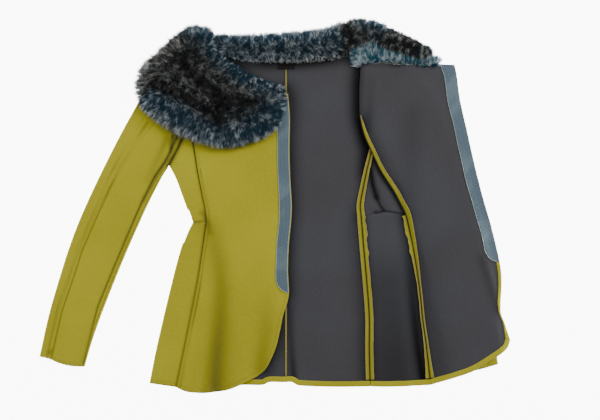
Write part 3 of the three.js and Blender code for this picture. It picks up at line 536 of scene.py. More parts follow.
# The fur fall's lower outline, along which its shadow is painted on the cloth below.
UNDER_FALL = [
    (-317, 609), (-307, 580), (-286, 559), (-254, 533), (-223, 514), (-191, 502), (-155, 491), (-122, 491),
    (-86, 499), (-50, 514), (-23, 536), (-4, 559),
]
BACK_SEAM_LINE = [(158, 346), (163, 284), (170, 206), (175, 136), (175, 67), (177, -9)]
FRONT_SEAM_LINE = [(252, 350), (262, 307), (273, 248), (282, 183), (287, 132), (294, 82), (304, -6)]
TURNED_LINE = [(157, 546), (165, 516), (178, 487), (199, 443), (226, 401), (240, 375), (252, 350)]
UNDERARM_LINE = [(-205, 545), (-213, 523), (-229, 487), (-248, 452)]
TOPSTITCH_LINE = [(x + 7.8, y) for x, y in RIGHT_SEAM_LINE[1:]]
RIGHT_PAINTED_SHADE = [
    ([(-160, 326), (-150, 290), (-141, 250), (-136, 200), (-138, 140), (-143, 80), (-150, -16)],
     19, 0.2, 0.52),
    ([(-150, 300), (-136, 200), (-138, 140), (-140, 80), (-144, -16)], 32, 0.0, 0.24),
    ([(-38, 190), (-42, 110), (-52, 30)], 18, 0.05, 0.4),
    (RIGHT_SEAM_LINE, 2.8, 0.6, 0.6),
    (TOPSTITCH_LINE, 1.6, 0.45, 0.5),
    (UNDERARM_LINE, 5, 0.8, 0.85),
    ([(-176, 356), (-165, 336), (-158, 314)], 6, 0.4, 0.3),
    ([(-200, 337.5), (-190, 334), (-178, 334)], 2.8, 0.85, 0.7),
    (UNDER_FALL, 8, 0.5, 0.5),
]
SLEEVE_LINE = [
    (-290, 546), (-328, 485), (-351, 447), (-399, 342), (-428, 275), (-447, 216), (-470, 149), (-492, 52),
]
SLEEVE_PAINTED_SHADE = [
    (UNDER_FALL, 8, 0.5, 0.5),
    ([(-229, 534), (-239, 514), (-243, 499), (-242, 485)], 2.4, 0.9, 0.8),
    ([(-226, 520), (-235, 503), (-241, 487), (-253, 464), (-275, 433)], 2.4, 0.95, 0.75),
    ([(-250, 510), (-266, 474), (-290, 424)], 8, 0.4, 0.15),
    ([(-230, 512), (-242, 482), (-264, 443), (-300, 380)], 6, 0.55, 0.3),
    ([(-275, 433), (-305, 373), (-335, 302), (-365, 231), (-395, 159), (-426, 36)], 2.4, 0.75, 0.55),
    (UNDERARM_LINE, 4, 0.9, 0.9),
    (SLEEVE_LINE, 1.8, 0.45, 0.55),
    ([(x - 10, y + 4) for x, y in SLEEVE_LINE], 1.5, 0.3, 0.4),
    ([(-497, 60), (-494, 66)], 4, 0.6, 0.4),
]
# The back takes the painted shadows of the shut front's edge, of the opened front's raised edge, of the seams
# and of the fur roll.
BACK_PAINTED_SHADE = [
    ([(3, 617), (8, 554), (9, 424), (12, 361), (6, 290), (4, 235), (6, 189), (-6, 141), (-21, 74), (-44, 26)],
     19, 0.5, 0.6),
    ([(160, 690), (155, 620), (155, 571), (157, 546), (165, 516), (173, 487), (172, 440)], 20, 0.85, 0.88),
    ([(158, 680), (154, 620), (154, 571), (156, 546), (164, 516), (172, 487), (171, 450)], 14, 0.9, 0.9),
    ([(172, 440), (160, 385), (158, 346)], 14, 0.8, 0.5),
    (BACK_SEAM_LINE, 24, 0.5, 0.65),
    ([(17, -5), (12, 60), (7, 150)], 8, 0.8, 0.3),
    ([(-9, -2), (-8, 110)], 2.4, 0.5, 0.2),
    ([(-140, 690), (0, 666), (100, 672), (140, 684)], 12, 0.5, 0.5),
]
SIDE_PAINTED_SHADE = [
    ([(215, 200), (228, -9)], 70, 0.35, 0.55),
    (BACK_SEAM_LINE, 12, 0.65, 0.6),
    ([(247, 335), (258, 240), (266, 160), (276, 80), (290, -12)], 11, 0.0, 0.9),
    ([(255, 270), (265, 165), (276, 76), (290, -12)], 5, 0.0, 0.95),
    (FRONT_SEAM_LINE, 17, 0.85, 0.7),
]
UPPER_SIDE_PAINTED_SHADE = [
    ([(176, 462), (178, 440), (182, 415), (190, 388)], 6.5, 0.97, 0.97),
    ([(190, 388), (197, 372), (206, 360)], 3.6, 0.97, 0.9),
    (TURNED_LINE, 7, 0.97, 0.85),
    ([(158, 346), (156, 372), (162, 407), (172, 454)], 7, 0.6, 0.8),
    ([(186, 356), (210, 358), (246, 352)], 3, 0.8, 0.7),
]
LEFT_FRONT_PAINTED_SHADE = [
    (FRONT_SEAM_LINE, 12, 0.3, 0.4),
    (FRONT_SEAM_LINE, 46, 0.12, 0.3),
    (TURNED_LINE, 20, 0.55, 0.35),
    ([(157, 668), (155, 571)], 7, 0.35, 0.3),
    ([(179, 640), (172, 530)], 9, 0.1, 0.3),
    ([(266, 560), (263, 490), (258, 400)], 24, 0.14, 0.1),
    ([(412, 262), (449, 151)], 10, 0.22, 0.34),
    ([(158, 668), (353, 666)], 5, 0.3, 0.3),
]


# %% [markdown]
# ## From a surface to a cloth shell
# A grid of points in the middle of the cloth becomes a closed shell: one sheet half a thickness to
# each side, along the surface's own normals, and a rounded edge between them. Both sheets carry a
# map of distances along the cloth, so the knit keeps its real size however the piece is folded.

# %% Meshes from arrays
def mesh_object(name, points, faces, materials, slots=None, uv=None):
    """Puts points in the row's metres and faces with one corner count into a named mesh object."""
    mesh = bpy.data.meshes.new(name)
    corners = faces.shape[1]
    mesh.vertices.add(len(points))
    mesh.vertices.foreach_set("co", np.ascontiguousarray(points, np.float32).ravel())
    mesh.loops.add(faces.size)
    mesh.loops.foreach_set("vertex_index", np.ascontiguousarray(faces, np.int32).ravel())
    mesh.polygons.add(len(faces))
    mesh.polygons.foreach_set("loop_start", np.arange(len(faces), dtype=np.int32) * corners)
    if slots is not None:
        mesh.polygons.foreach_set("material_index", slots.astype(np.int32))
    for material in materials:
        mesh.materials.append(material)
    if uv is not None:
        layer = mesh.uv_layers.new(name="cloth")
        layer.data.foreach_set("uv", uv[faces.ravel()].astype(np.float32).ravel())
    mesh.update(calc_edges=True)
    mesh.validate()
    mesh.shade_smooth()
    made = bpy.data.objects.new(name, mesh)
    bpy.context.collection.objects.link(made)
    return made


def surface_normals(grid):
    """Unit normals of a grid of points: the cross product of its column and row steps."""
    normal = np.cross(np.gradient(grid, axis=1), np.gradient(grid, axis=0))
    return normal / np.maximum(np.linalg.norm(normal, axis=2, keepdims=True), 1e-9)


def measured(grid):
    """The lengths along the rows and the columns of a grid, for its cloth map and its cut size."""
    across = np.linalg.norm(np.diff(grid, axis=1), axis=2)
    along = np.linalg.norm(np.diff(grid, axis=0), axis=2)
    u = np.pad(np.cumsum(across, axis=1), ((0, 0), (1, 0)))
    v = np.pad(np.cumsum(along, axis=0), ((1, 0), (0, 0)))
    a, b = np.diff(grid, axis=0)[:, :-1], np.diff(grid, axis=1)[:-1]
    area = np.linalg.norm(np.cross(a, b), axis=2).sum()
    return u, v, area


def grid_faces(index):
    """The four-cornered faces between the points of a grid, given the grid of their numbers."""
    corners = [index[:-1, :-1], index[:-1, 1:], index[1:, 1:], index[1:, :-1]]
    return np.stack(corners, -1).reshape(-1, 4)


def rim_of(index):
    """The numbers once round the rim of a grid."""
    return np.concatenate([index[0, :-1], index[:-1, -1], index[-1, :0:-1], index[:0:-1, 0]])


def shell(name, grid, thick, face, back=None, rim_back=True, painted_shade_share=None, rounding=0.3):
    """A closed cloth shell on a grid in the cutter's millimetres. face shows on the side of the
    normals, back on the other, and the raw rim between them takes the back's material or the face's."""
    rows, columns = grid.shape[:2]
    normal = surface_normals(grid) * thick / 2
    u, v, _ = measured(grid)
    index = np.arange(rows * columns).reshape(rows, columns)
    loop = rim_of(index)
    flat_grid = grid.reshape(-1, 3)
    outward = flat_grid[loop] - flat_grid[inner_of(index)]
    outward /= np.maximum(np.linalg.norm(outward, axis=1, keepdims=True), 1e-9)
    rim = flat_grid[loop] + outward * thick * rounding
    points = np.vstack([(grid + normal).reshape(-1, 3), (grid - normal).reshape(-1, 3), rim])
    over = grid_faces(index)
    under = over[:, ::-1] + rows * columns
    ring = 2 * rows * columns + np.arange(len(loop))
    ring_next, loop_next = np.roll(ring, -1), np.roll(loop, -1)
    upper_rim = np.stack([loop, ring, ring_next, loop_next], -1)
    lower_rim = np.stack([ring, loop + rows * columns, loop_next + rows * columns, ring_next], -1)
    faces = np.vstack([over, under, upper_rim, lower_rim])
    slots = np.concatenate([np.zeros(len(over)), np.ones(len(under)), np.full(2 * len(loop), rim_back)])
    cloth = np.stack([u, v], -1).reshape(-1, 2) / 1000
    uv = np.vstack([cloth, cloth, cloth[loop]])
    piece = mesh_object(name, to_row(points), faces, [face, back or face], slots, uv)
    # Each point keeps its share of painted shade, which the material darkens its colour by.
    if painted_shade_share is not None:
        stored = piece.data.attributes.new("painted_shade_share", "FLOAT", "POINT")
        shares = np.concatenate([painted_shade_share.ravel(), painted_shade_share.ravel(), painted_shade_share.ravel()[loop]])
        stored.data.foreach_set("value", np.clip(shares, 0, 0.97).astype(np.float32))
    return piece


def inner_of(index):
    """For each point of the rim loop, the grid point one step inside it."""
    rows, columns = index.shape
    inside = np.array(index)
    inside[0], inside[-1] = index[1], index[-2]
    inside[:, 0], inside[:, -1] = index[:, 1], index[:, -2]
    inside[0, 0], inside[0, -1] = index[1, 1], index[1, -2]
    inside[-1, 0], inside[-1, -1] = index[-2, 1], index[-2, -2]
    return rim_of(inside)


# %% Declaring each piece to the frame
DRESSED = {}


def wear(piece, node, on=None):
    """The piece rides with the jacket and stands for its solid, which is hidden. on names the panel
    that it is sewn to, if it is not a panel itself, and the piece is listed under it."""
    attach(piece, "root")
    if node:
        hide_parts(node)
    if on:
        DRESSED.setdefault(on, []).append(piece)
    return piece


# %% [markdown]
# ## The panels
# Each panel is blended from its four seams: the two side seams are blended across, the hem and the
# top are blended along, and the corners, which both count, are taken away once. Near a seam the
# cloth dips, because the allowances inside pull it down.

# %% Panel surfaces
ROW_STEP = 7
SHELL_THICK = CLOTH - 0.3


def seam_points(curves, rows):
    """Seams end to end, each cut into its own number of steps."""
    return joined(*(spline(curve, evenly(n * ROW_STEP)) for curve, n in zip(curves, rows)))


def edged(steps, width):
    """Even shares across a panel, with two more close to each edge."""
    near = np.array([1.2, 3.0]) / width
    return np.concatenate([[0], near, evenly(steps)[1:-1], 1 - near[::-1], [1]])


def blended(west, east, south, north, across):
    """The surface between four edges: sides blended across, ends blended along, less the corners."""
    u, v = across[None, :, None], evenly(len(west) - 1)[:, None, None]
    sides = west[:, None] * (1 - u) + east[:, None] * u
    ends = south[None] * (1 - v) + north[None] * v
    corners = (west[0] * (1 - u) + east[0] * u) * (1 - v) + (west[-1] * (1 - u) + east[-1] * u) * v
    return sides + ends - corners


def lifted(plan, height, dips=(1, 1), depth=0.7):
    """Raises a plan to its height, with a dip of Gaussian section along the west and east seams."""
    z = height(plan[..., 0], plan[..., 1])
    run = measured(np.dstack([plan, np.zeros(plan.shape[:2])]))[0]
    west, east = np.exp(-((run / 3.2) ** 2)), np.exp(-(((run[:, -1:] - run) / 3.2) ** 2))
    return np.dstack([plan, z - depth * (dips[0] * west + dips[1] * east)])


def panel_surface(side, west, east, south, north, across, height, dips=(1, 1)):
    """The lifted surface between four edges of one half. west and east give their seams from the
    hem up, each with its number of rows, and south and north name the seams at the ends."""
    edges = (seam_points([side[name] for name in rows], rows.values()) for rows in (west, east))
    ends = (spline(side[name], across) for name in (south, north))
    return lifted(blended(*edges, *ends, across), height, dips)


def drawn_back(grid, gap=-0.3):
    """Moves the four edges of a grid in by a gap, or out into the seam where it is below zero."""
    moved = grid.copy()
    for edge, inner in (((slice(None), 0), (slice(None), 1)), ((slice(None), -1), (slice(None), -2)),
                        ((0,), (1,)), ((-1,), (-2,))):
        step = grid[inner] - grid[edge]
        moved[edge] += gap * step / np.maximum(np.linalg.norm(step, axis=1, keepdims=True), 1e-9)
    return moved


def add_panel(node, grid, face, back, painted_shade):
    """Makes the shell of one cut piece, named after its solid."""
    name = "cloth_" + node
    # The painted shade on this panel: how much darker each point is drawn, from the panel's table of bands.
    painted_shade_share = painted_shade_bands(painted_shade, grid[..., :2])
    skin = shell(name, drawn_back(grid), SHELL_THICK, face, back, back is INNER_FACE, painted_shade_share)
    piece = wear(skin, node)


# %% Back
across = edged(30, 180)
centre, up_the_side = {"centre_back": 17}, {"back_seam_lower": 8, "back_seam_upper": 6, "armhole": 3}
left_back = panel_surface(LEFT, centre, up_the_side, "back_hem", "back_top", across, back_height)
add_panel("back_left", left_back, INNER_FACE, OUTER_FACE, BACK_PAINTED_SHADE)
right_back = panel_surface(RIGHT, up_the_side, centre, "back_hem", "back_top", across, back_height)
add_panel("back_right", right_back, INNER_FACE, OUTER_FACE, BACK_PAINTED_SHADE)

# %% Left side panels
across = edged(20, 110)
side_lower = panel_surface(
    LEFT, {"back_seam_lower": 8}, {"front_seam_lower": 8}, "side_hem", "side_waist", across, side_height
)
add_panel("side_left_lower", side_lower, INNER_FACE, OUTER_FACE, SIDE_PAINTED_SHADE)
UNDERARM_START = 0.08
across = edged(22, 80)
underarm_shares = np.interp(across, [0, 1], [1, UNDERARM_START])
side_upper = lifted(
    blended(
        seam_points([LEFT["back_seam_upper"]], [6]),
        seam_points([LEFT["side_under_front"]], [6]),
        spline(LEFT["side_waist"], across),
        spline(LEFT["underarm"], underarm_shares),
        across,
    ),
    upper_side_height,
    (1, 0),
)
add_panel("side_left_upper", side_upper, INNER_FACE, OUTER_FACE, UPPER_SIDE_PAINTED_SHADE)

# %% Fronts
across = edged(40, 200)
left_front = panel_surface(
    LEFT, {"front_seam_lower": 8, "front_seam_upper": 11}, {"front_edge": 19}, "front_hem", "front_neck",
    across, left_front_height, (0.3, 0),
)
run = measured(left_front)[0]
rolled = EDGE_ROLL * smooth((left_front[:, :1, 1] - 420) / 120)
left_front[..., 2] -= rolled * np.exp(-((run / 9) ** 2))
add_panel("front_left", left_front, INNER_FACE, OUTER_FACE, LEFT_FRONT_PAINTED_SHADE)
right_front = panel_surface(
    RIGHT, {"front_seam_lower": 8, "front_seam_upper": 6, "armhole": 3}, {"front_edge": 17}, "front_hem",
    "front_top", across, right_front_height, (1, 0),
)
add_panel("front_right", right_front, OUTER_FACE, INNER_FACE, RIGHT_PAINTED_SHADE)

# %% [markdown]
# ## Folded side panels
# On the shut side the side panel goes from the back seam, along the table, round a fold and over
# to the front seam. Its grid is the lower layer, a half turn and the upper layer in one.


# %% Half turns and folded panels
def half_turn(low, high, before, steps=5):
    """Points of the half circle from low to high, bulging away from the point before low."""
    outward = low - before
    outward[:, 2] = 0
    outward /= np.linalg.norm(outward, axis=1, keepdims=True)
    turn = (np.linspace(0, 1, steps + 2)[1:-1] - 0.5)[None, :, None] * np.pi
    centre, radius = ((low + high) / 2)[:, None], ((high - low)[:, 2] / 2)[:, None, None]
    lift = np.concatenate([np.zeros_like(turn), np.zeros_like(turn), np.sin(turn)], -1)
    return centre + radius * (outward[:, None] * np.cos(turn) + lift)


def folded(lower, upper):
    """Joins a lower and an upper layer, both running from the fold inward, by a half turn."""
    radius = (upper[:, :1, 2:] - lower[:, :1, 2:]) / 2
    inward = lower[:, 2:3] - lower[:, :1]
    inward[..., 2] = 0
    inward /= np.linalg.norm(inward, axis=2, keepdims=True)
    low, high = lower.copy(), upper.copy()
    low[:, :1] += inward * radius
    low[:, 1] = (low[:, 0] + low[:, 2]) / 2
    high[:, 0, :2] = low[:, 0, :2]
    high[:, 1] = (high[:, 0] + high[:, 2]) / 2
    turn = half_turn(low[:, 0], high[:, 0], low[:, 2])
    return np.concatenate([low[:, ::-1], turn, high], axis=1)


SIDE_RIGHT_CREASES = [
    (-240, 60, -216, 200, 16, 0.8, 0.5),
    (-206, 330, -178, 326, 6, 1.0, 1.3),
    (-190, 345, -172, 342, 5, 1.2, 1.4),
    (-216, 400, -196, 440, 12, 0.7, 0.5),
]


def right_side_height(x, y):
    """The shut front's height, with the side panel's own creases."""
    return right_front_height(x, y) + creases(SIDE_RIGHT_CREASES, x, y)


under_across, over_across = edged(12, 80), edged(10, 45)
for node, rows, seams in (
    ("side_right_lower", 8,
     ("side_fold_lower", "back_seam_lower", "front_seam_lower", "side_hem_under", "side_hem_over", "waist")),
    ("side_right_upper", 6,
     ("side_fold_upper", "back_seam_upper", "front_seam_upper", "waist_under", "waist_over", "underarm")),
):
    fold_line, back_seam, front_seam = (seam_points([RIGHT[k]], [rows]) for k in seams[:3])
    tops = [
        spline(RIGHT["underarm"], UNDERARM_START + (1 - UNDERARM_START) * share)
        if seams[5] == "underarm" else spline(RIGHT[k], share)
        for k, share in (("waist_under", under_across), ("waist_over", over_across))
    ]
    lower = lifted(
        blended(fold_line, back_seam, spline(RIGHT[seams[3]], under_across), tops[0], under_across),
        lambda x, y: np.full_like(x, TABLE_LAYER), (0, 1),
    )
    upper = lifted(
        blended(fold_line, front_seam, spline(RIGHT[seams[4]], over_across), tops[1], over_across),
        right_side_height, (0, 1),
    )
    add_panel(node, folded(lower, upper), OUTER_FACE, INNER_FACE, RIGHT_PAINTED_SHADE)

# %% [markdown]
# ## Sleeves
# A sleeve is a flat tube. The upper sleeve lies on top between two lengthwise seams, and the under
# sleeve goes from one seam round both edges to the other. At the cap its rows bend into the armhole.

# %% Sleeve surfaces
SLEEVE_ROWS = 98
SLEEVE_SEAMS = np.array([
    (0, 0.235, 0.885), (0.25, 0.257, 0.88), (0.5, 0.268, 0.87), (0.75, 0.282, 0.86), (1, 1 / 3, 5 / 6),
])
SLEEVE_CREASES = {
    "left": [(400, 120, 340, 150, 16, 0.8, 0.5)],
    "right": [
        (-300, 560, -262, 470, 15, 1.1, 0.7),
        (-262, 560, -236, 490, 8, -1.3, -0.5),
        (-390, 320, -330, 330, 30, 0.5, 0.5),
        (-470, 110, -430, 130, 20, 0.4, 0.7),
        (-238, 600, -246, 556, 5, 1.3, 0.9),
        (-228, 588, -238, 540, 4, -1.1, -0.8),
    ],
}


def sleeve_plan(side, shares):
    """Points across the flat tube at shares (rows by columns), as in the solid: straight rows, with the
    curves of the cuff and the cap fading out by the sixth power within a few rows."""
    v = evenly(SLEEVE_ROWS)[:, None, None]
    outer, inner = spline(side["sleeve_outer"], v.ravel()), spline(side["sleeve_inner"], v.ravel())

    def straight(a, b):
        """From a to b in proportion to the shares."""
        return a * (1 - shares[..., None]) + b * shares[..., None]

    flat_shares = shares.ravel()
    cuff = spline(side["cuff"], flat_shares).reshape(*shares.shape, 2)
    cap = np.where(
        (flat_shares < 0.5)[:, None],
        spline(side["armhole"], np.clip(1 - 2 * flat_shares, 0, 1)),
        spline(side["underarm"], np.clip(2 - 2 * flat_shares, 0, 1)),
    ).reshape(*shares.shape, 2)
    bulge_low, bulge_high = cuff - straight(outer[0], inner[0]), cap - straight(outer[-1], inner[-1])
    return straight(outer[:, None], inner[:, None]) + bulge_low * (1 - v) ** 6 + bulge_high * v**6


def crown(shares):
    """The upper sleeve's height: half a sine wave over the height of its edges."""
    return SLEEVE_EDGE + SLEEVE_CROWN * np.sin(np.pi * shares)


def add_sleeve(which, side):
    """Both pieces of one sleeve. Returns the grids of the upper sleeve and of the under sleeve's
    outer strip, for their stitching."""
    v = evenly(SLEEVE_ROWS)
    seams = [np.interp(v, SLEEVE_SEAMS[:, 0], SLEEVE_SEAMS[:, k])[:, None] for k in (1, 2)]
    outer, inner = spline(side["sleeve_outer"], v), spline(side["sleeve_inner"], v)
    width = np.linalg.norm(outer - inner, axis=1)[:, None]
    radius = (SLEEVE_EDGE - TABLE_LAYER) / 2

    def layer(shares, top):
        """The tube's points on the table, or on top with the crown, the creases and dips at the seams."""
        plan = sleeve_plan(side, shares)
        z = np.full(shares.shape, TABLE_LAYER)
        if top:
            z = crown(shares) + creases(SLEEVE_CREASES[which], plan[..., 0], plan[..., 1])
            near = np.minimum(*(np.abs(shares - s) * width for s in seams))
            z = z - 0.9 * np.exp(-((near / 3.4) ** 2))
        return np.dstack([plan, z])

    tuck = radius / width
    first = layer(seams[0] + (tuck - seams[0]) * edged(8, 30)[None], True)
    bottom = layer(tuck + (1 - 2 * tuck) * evenly(24)[None], False)
    last = layer(1 - tuck + (seams[1] - 1 + tuck) * edged(6, 14)[None], True)
    outer_turn = half_turn(bottom[:, 0], first[:, -1], bottom[:, 1])[:, ::-1]
    inner_turn = half_turn(bottom[:, -1], last[:, 0], bottom[:, -2])
    under = np.concatenate([first, outer_turn, bottom, inner_turn, last], axis=1)
    upper = layer(seams[0] + (seams[1] - seams[0]) * edged(18, 90)[None], True)
    if which == "left":
        under, upper = under[:, ::-1], upper[:, ::-1]
    parts = {"under": (under, INNER_FACE, OUTER_FACE), "upper": (upper, OUTER_FACE, INNER_FACE)}
    for part, (grid, face, back) in parts.items():
        add_panel(f"sleeve_{which}_{part}", grid, face, back, SLEEVE_PAINTED_SHADE)
    return upper, first


right_upper_sleeve, right_outer_strip = add_sleeve("right", RIGHT)
add_sleeve("left", LEFT)

# %% [markdown]
# ## Turned edges, pressed seams and tapes
# These lie on a panel along one of its edges. Each is the edge's own line of points, carried
# inward by set distances and lifted off the cloth, so it follows the edge and every fold.


# %% Bands along an edge
LIFT = 0.3


def inward_of(edge, toward):
    """Unit steps in plan, square to an edge line, on the side of a second line of points."""
    along = np.gradient(edge, axis=0)
    square = np.stack([-along[:, 1], along[:, 0]], -1)
    square /= np.linalg.norm(square, axis=1, keepdims=True)
    return square * np.sign(((toward - edge) * square).sum(axis=1, keepdims=True))


def band(
    name, edge, inward, distances, height, thick, face, node, on, lift=LIFT, ripple=0.0, shade=0.0
):
    """A strip from one distance to another inside an edge. distances is rows by columns, in mm.
    shade darkens it by a share of painted shade, a little all over and most of all beside the seam
    that it comes from, in the seam's groove. Returns its grid."""
    distances = np.broadcast_to(distances, (len(edge), np.shape(distances)[-1]))
    plan = edge[:, None] + inward[:, None] * distances[..., None]
    run = measured(np.dstack([plan, np.zeros(plan.shape[:2])]))[1]
    z = height(plan[..., 0], plan[..., 1]) + CLOTH / 2 + lift + thick / 2
    z = z + ripple * np.sin(run / 17 + 2 * np.sin(run / 61)) * np.sin(distances / 9 + 0.6)
    grid = np.dstack([plan, z])
    # Painted shade: deepest beside the seam, and a little all over the strip.
    painted_shade_share = shade * np.exp(-((distances / 1.9) ** 2)) + 0.25 * shade
    if np.cross(grid[0, -1] - grid[0, 0], grid[1, 0] - grid[0, 0])[2] < 0:
        grid, painted_shade_share = grid[:, ::-1], painted_shade_share[:, ::-1]
    wear(shell(name, grid, thick, face, painted_shade_share=painted_shade_share), node, on)
    return grid


def edge_and_inward(curves, inner_curves, start=0.0, stop=1.0, steps=150):
    """An edge line of even points and the inward steps towards a second curve."""
    line = spline(curves, np.linspace(start, stop, steps))
    return line, inward_of(line, spline(inner_curves, np.linspace(start, stop, steps)))


# %% Hems
span = np.linspace(0.2, HEM_TURN, 5)[None]
HEM_ENDS = (0.004, 0.997)
for name, node, curve, toward, height, on in (
    ("turned_hem_back_left", "hem_back_left", LEFT["back_hem"], [(0, 90), (177, 90)],
     back_height, "cloth_back_left"),
    ("turned_hem_back_right", "hem_back_right", RIGHT["back_hem"], [(-177, 90), (0, 90)],
     back_height, "cloth_back_right"),
    ("turned_hem_side", "hem_side_left", LEFT["side_hem"], [(177, 90), (304, 90)],
     side_height, "cloth_side_left_lower"),
    ("turned_hem_front", "hem_front_left", LEFT["front_hem"], [(304, 120), (400, 190)],
     left_front_height, "cloth_front_left"),
):
    line, inward = edge_and_inward(curve, toward, *HEM_ENDS, 60)
    band(name, line, inward, span, height, STRIP_THICK, OUTER_FACE, node, on)

# %% Seam allowances, pressed open
def allowance(name, node, curve, toward, height, on, start, stop, width, ragged=0.0):
    """One seam allowance. width is shares of the seam with widths. A ragged one has an edge that
    waves, as a slack overlocked edge does. Returns its overlocked edge and the inward steps."""
    steps = 150
    line, inward = edge_and_inward(curve, toward, start, stop, steps)
    share = np.linspace(start, stop, steps)
    wide = np.interp(share, *width)
    run = share * 350
    wave = ragged * (np.sin(run / 7) + 0.6 * np.sin(run / 3.1 + 1))
    wave = wave * (0.15 + 0.85 * smooth((share - 0.7) / 0.1))
    distances = 0.8 + (wide + wave - 0.5)[:, None] * evenly(4)[None]
    # The allowance is painted darker, most of all beside its seam, as shade.
    band(
        name, line, inward, distances, height, STRIP_THICK, OUTER_FACE, node, on,
        ripple=0.25, shade=0.8,
    )
    outer = line + inward * distances[:, -1:]
    z = height(outer[:, 0], outer[:, 1]) + CLOTH / 2 + LIFT + STRIP_THICK
    return np.column_stack([outer, z]), np.column_stack([inward, np.zeros(steps)])


HEM_SHARE = 14 / 355
LOWER_OF_BACK, LOWER_OF_FRONT = 0.62, 0.52
SERGED = {}
SERGED["back_lower_back"] = allowance(
    "allowance_back_seam_back", "back_seam_allowance_back",
    LEFT["back_seam_lower"] + LEFT["back_seam_upper"][1:], [(0, 0), (0, 560)],
    back_height, "cloth_back_left", HEM_SHARE * LOWER_OF_BACK, 0.93,
    ([0, 0.5, 0.6, 0.75, 0.86, 0.93], [8, 8, 8, 6, 5, 1.2]),
)
SERGED["back_lower_side"] = allowance(
    "allowance_back_seam_side_lower", "back_seam_allowance_side_lower", LEFT["back_seam_lower"],
    LEFT["front_seam_lower"], side_height, "cloth_side_left_lower", HEM_SHARE, 1,
    ([0, 0.5, 0.75, 0.9, 1], [8, 8, 7.5, 8.5, 9]), 1.2,
)
SERGED["back_upper_side"] = allowance(
    "allowance_back_seam_side_upper", "back_seam_allowance_side_upper", LEFT["back_seam_upper"],
    LEFT["side_under_front"], upper_side_height, "cloth_side_left_upper", 0, 0.86,
    ([0, 0.3, 0.7, 0.86], [8, 6, 4, 1.2]), 0.7,
)
SERGED["front_lower_side"] = allowance(
    "allowance_front_seam_side", "front_seam_allowance_side", LEFT["front_seam_lower"],
    LEFT["back_seam_lower"], side_height, "cloth_side_left_lower", HEM_SHARE, 1,
    ([0, 0.13, 0.3, 0.6, 0.86, 1], [9.5, 6, 3.6, 3.6, 8, 8]), 1.1,
)
front_seam = LEFT["front_seam_lower"] + LEFT["front_seam_upper"][1:]
SERGED["front"] = allowance(
    "allowance_front_seam_front", "front_seam_allowance_front", front_seam,
    [(471, 0), (353, 666)], left_front_height, "cloth_front_left", HEM_SHARE * LOWER_OF_FRONT, 0.845,
    ([0, 0.07, 0.15, 0.3, 0.44, 0.52, 0.78, 0.82, 0.845], [9.5, 6, 4, 4, 8, 9.5, 7.5, 5, 1.5]),
)
CENTRE_ROWS = 140
line = spline(CENTRE_BACK, np.linspace(0.018, 0.977, CENTRE_ROWS))
for half, side in (("left", 1.0), ("right", -1.0)):
    inward = np.tile([side, 0.0], (CENTRE_ROWS, 1))
    band(
        f"allowance_centre_{half}", line, inward, np.array([[0.2, 0.9, 1.6]]), back_height, STRIP_THICK,
        SEAM_CORD, f"centre_seam_allowance_{half}", f"cloth_back_{half}",
    )
print("pressed allowances:", len(SERGED) + 2)

# %% Closure tapes and the turned front edge
TAPE_END = np.array([(0, 4), (2.5, 10), (6, 15), (14, 21.5), (26, TAPE_WIDTH), (2000, TAPE_WIDTH)])


def closure_tape(name, node, curve, toward, height, on, start, stop, corner, inset):
    """A woven tape along a front edge, with one rounded end, a little rippled by its stitching.
    Returns its grid."""
    steps = 170
    line, inward = edge_and_inward(curve, toward, start, stop, steps)
    length = np.linalg.norm(np.diff(line, axis=0), axis=1).sum()
    distance = np.linspace(0, 1, steps) ** 1.25 * length
    line, inward = (
        np.column_stack([np.interp(distance, evenly(steps - 1) * length, a[:, k]) for k in (0, 1)])
        for a in (line, inward)
    )
    wide = np.interp(distance, TAPE_END[:, 0], TAPE_END[:, 1])
    left = length - distance
    along = np.gradient(line, axis=0)
    along /= np.linalg.norm(along, axis=1, keepdims=True)
    if corner:
        inward = inward + along * (0.3 * np.exp(-((left / 40) ** 2)))[:, None]
    wide = wide + 2.5 * np.exp(-((left / 22) ** 2)) * (corner > 0)
    wobble = 0.5 * np.sin(distance / 29 + 1) + 0.35 * np.sin(distance / 13)
    near = inset + corner * (1 - np.sqrt(np.clip(1 - (1 - np.clip(left / 9, 0, 1)) ** 2, 0, 1)))
    distances = near[:, None] + (wide - near + wobble * smooth(distance / 40))[:, None] * evenly(6)[None]
    return band(name, line, inward, distances, height, TAPE_THICK, TAPE, node, on, ripple=0.9)


left_tape = closure_tape(
    "tape_left", "closure_tape_left", LEFT["front_edge"], [(304, 0), (158, 668)],
    left_front_height, "cloth_front_left", 0.286, 0.999, 5.0, 0.2,
)
right_tape = closure_tape(
    "tape_right", "closure_tape_right", RIGHT["front_edge"], [(-231, 0), (-140, 650)],
    right_front_height, "cloth_front_right", 0.316, 0.985, 0.0, 1.5,
)
TURN_ROWS = 60
line, inward = edge_and_inward(LEFT["front_edge"], [(304, 0), (158, 668)], 0.002, 0.284, TURN_ROWS)
TURN_WIDTHS = ([0, 0.08, 0.2, 0.32, 0.48, 1], [9, 7, 3.2, 2.4, 6.5, 6.5])
taper = np.interp(np.linspace(0, 1, TURN_ROWS), *TURN_WIDTHS)[:, None]
band(
    "turned_front_edge", line, inward, 0.2 + taper * evenly(3)[None], left_front_height, STRIP_THICK,
    OUTER_FACE, "front_edge_turn_left", "cloth_front_left", lift=0.5,
)


# %% [markdown]
# ## Stitching
# A stitch is a short bead of thread that lies along its seam. All the stitches of one seam are a
# single mesh: one small six-cornered bead, copied to every place along the line by array sums.

# %% Beads of thread
BEAD = np.array([(1, 0, 0), (-1, 0, 0), (0, 1, 0), (0, -1, 0), (0, 0, 1), (0, 0, -1)], float)
BEAD_FACES = np.array([
    (0, 2, 4), (2, 1, 4), (1, 3, 4), (3, 0, 4), (2, 0, 5), (1, 2, 5), (3, 1, 5), (0, 3, 5),
])


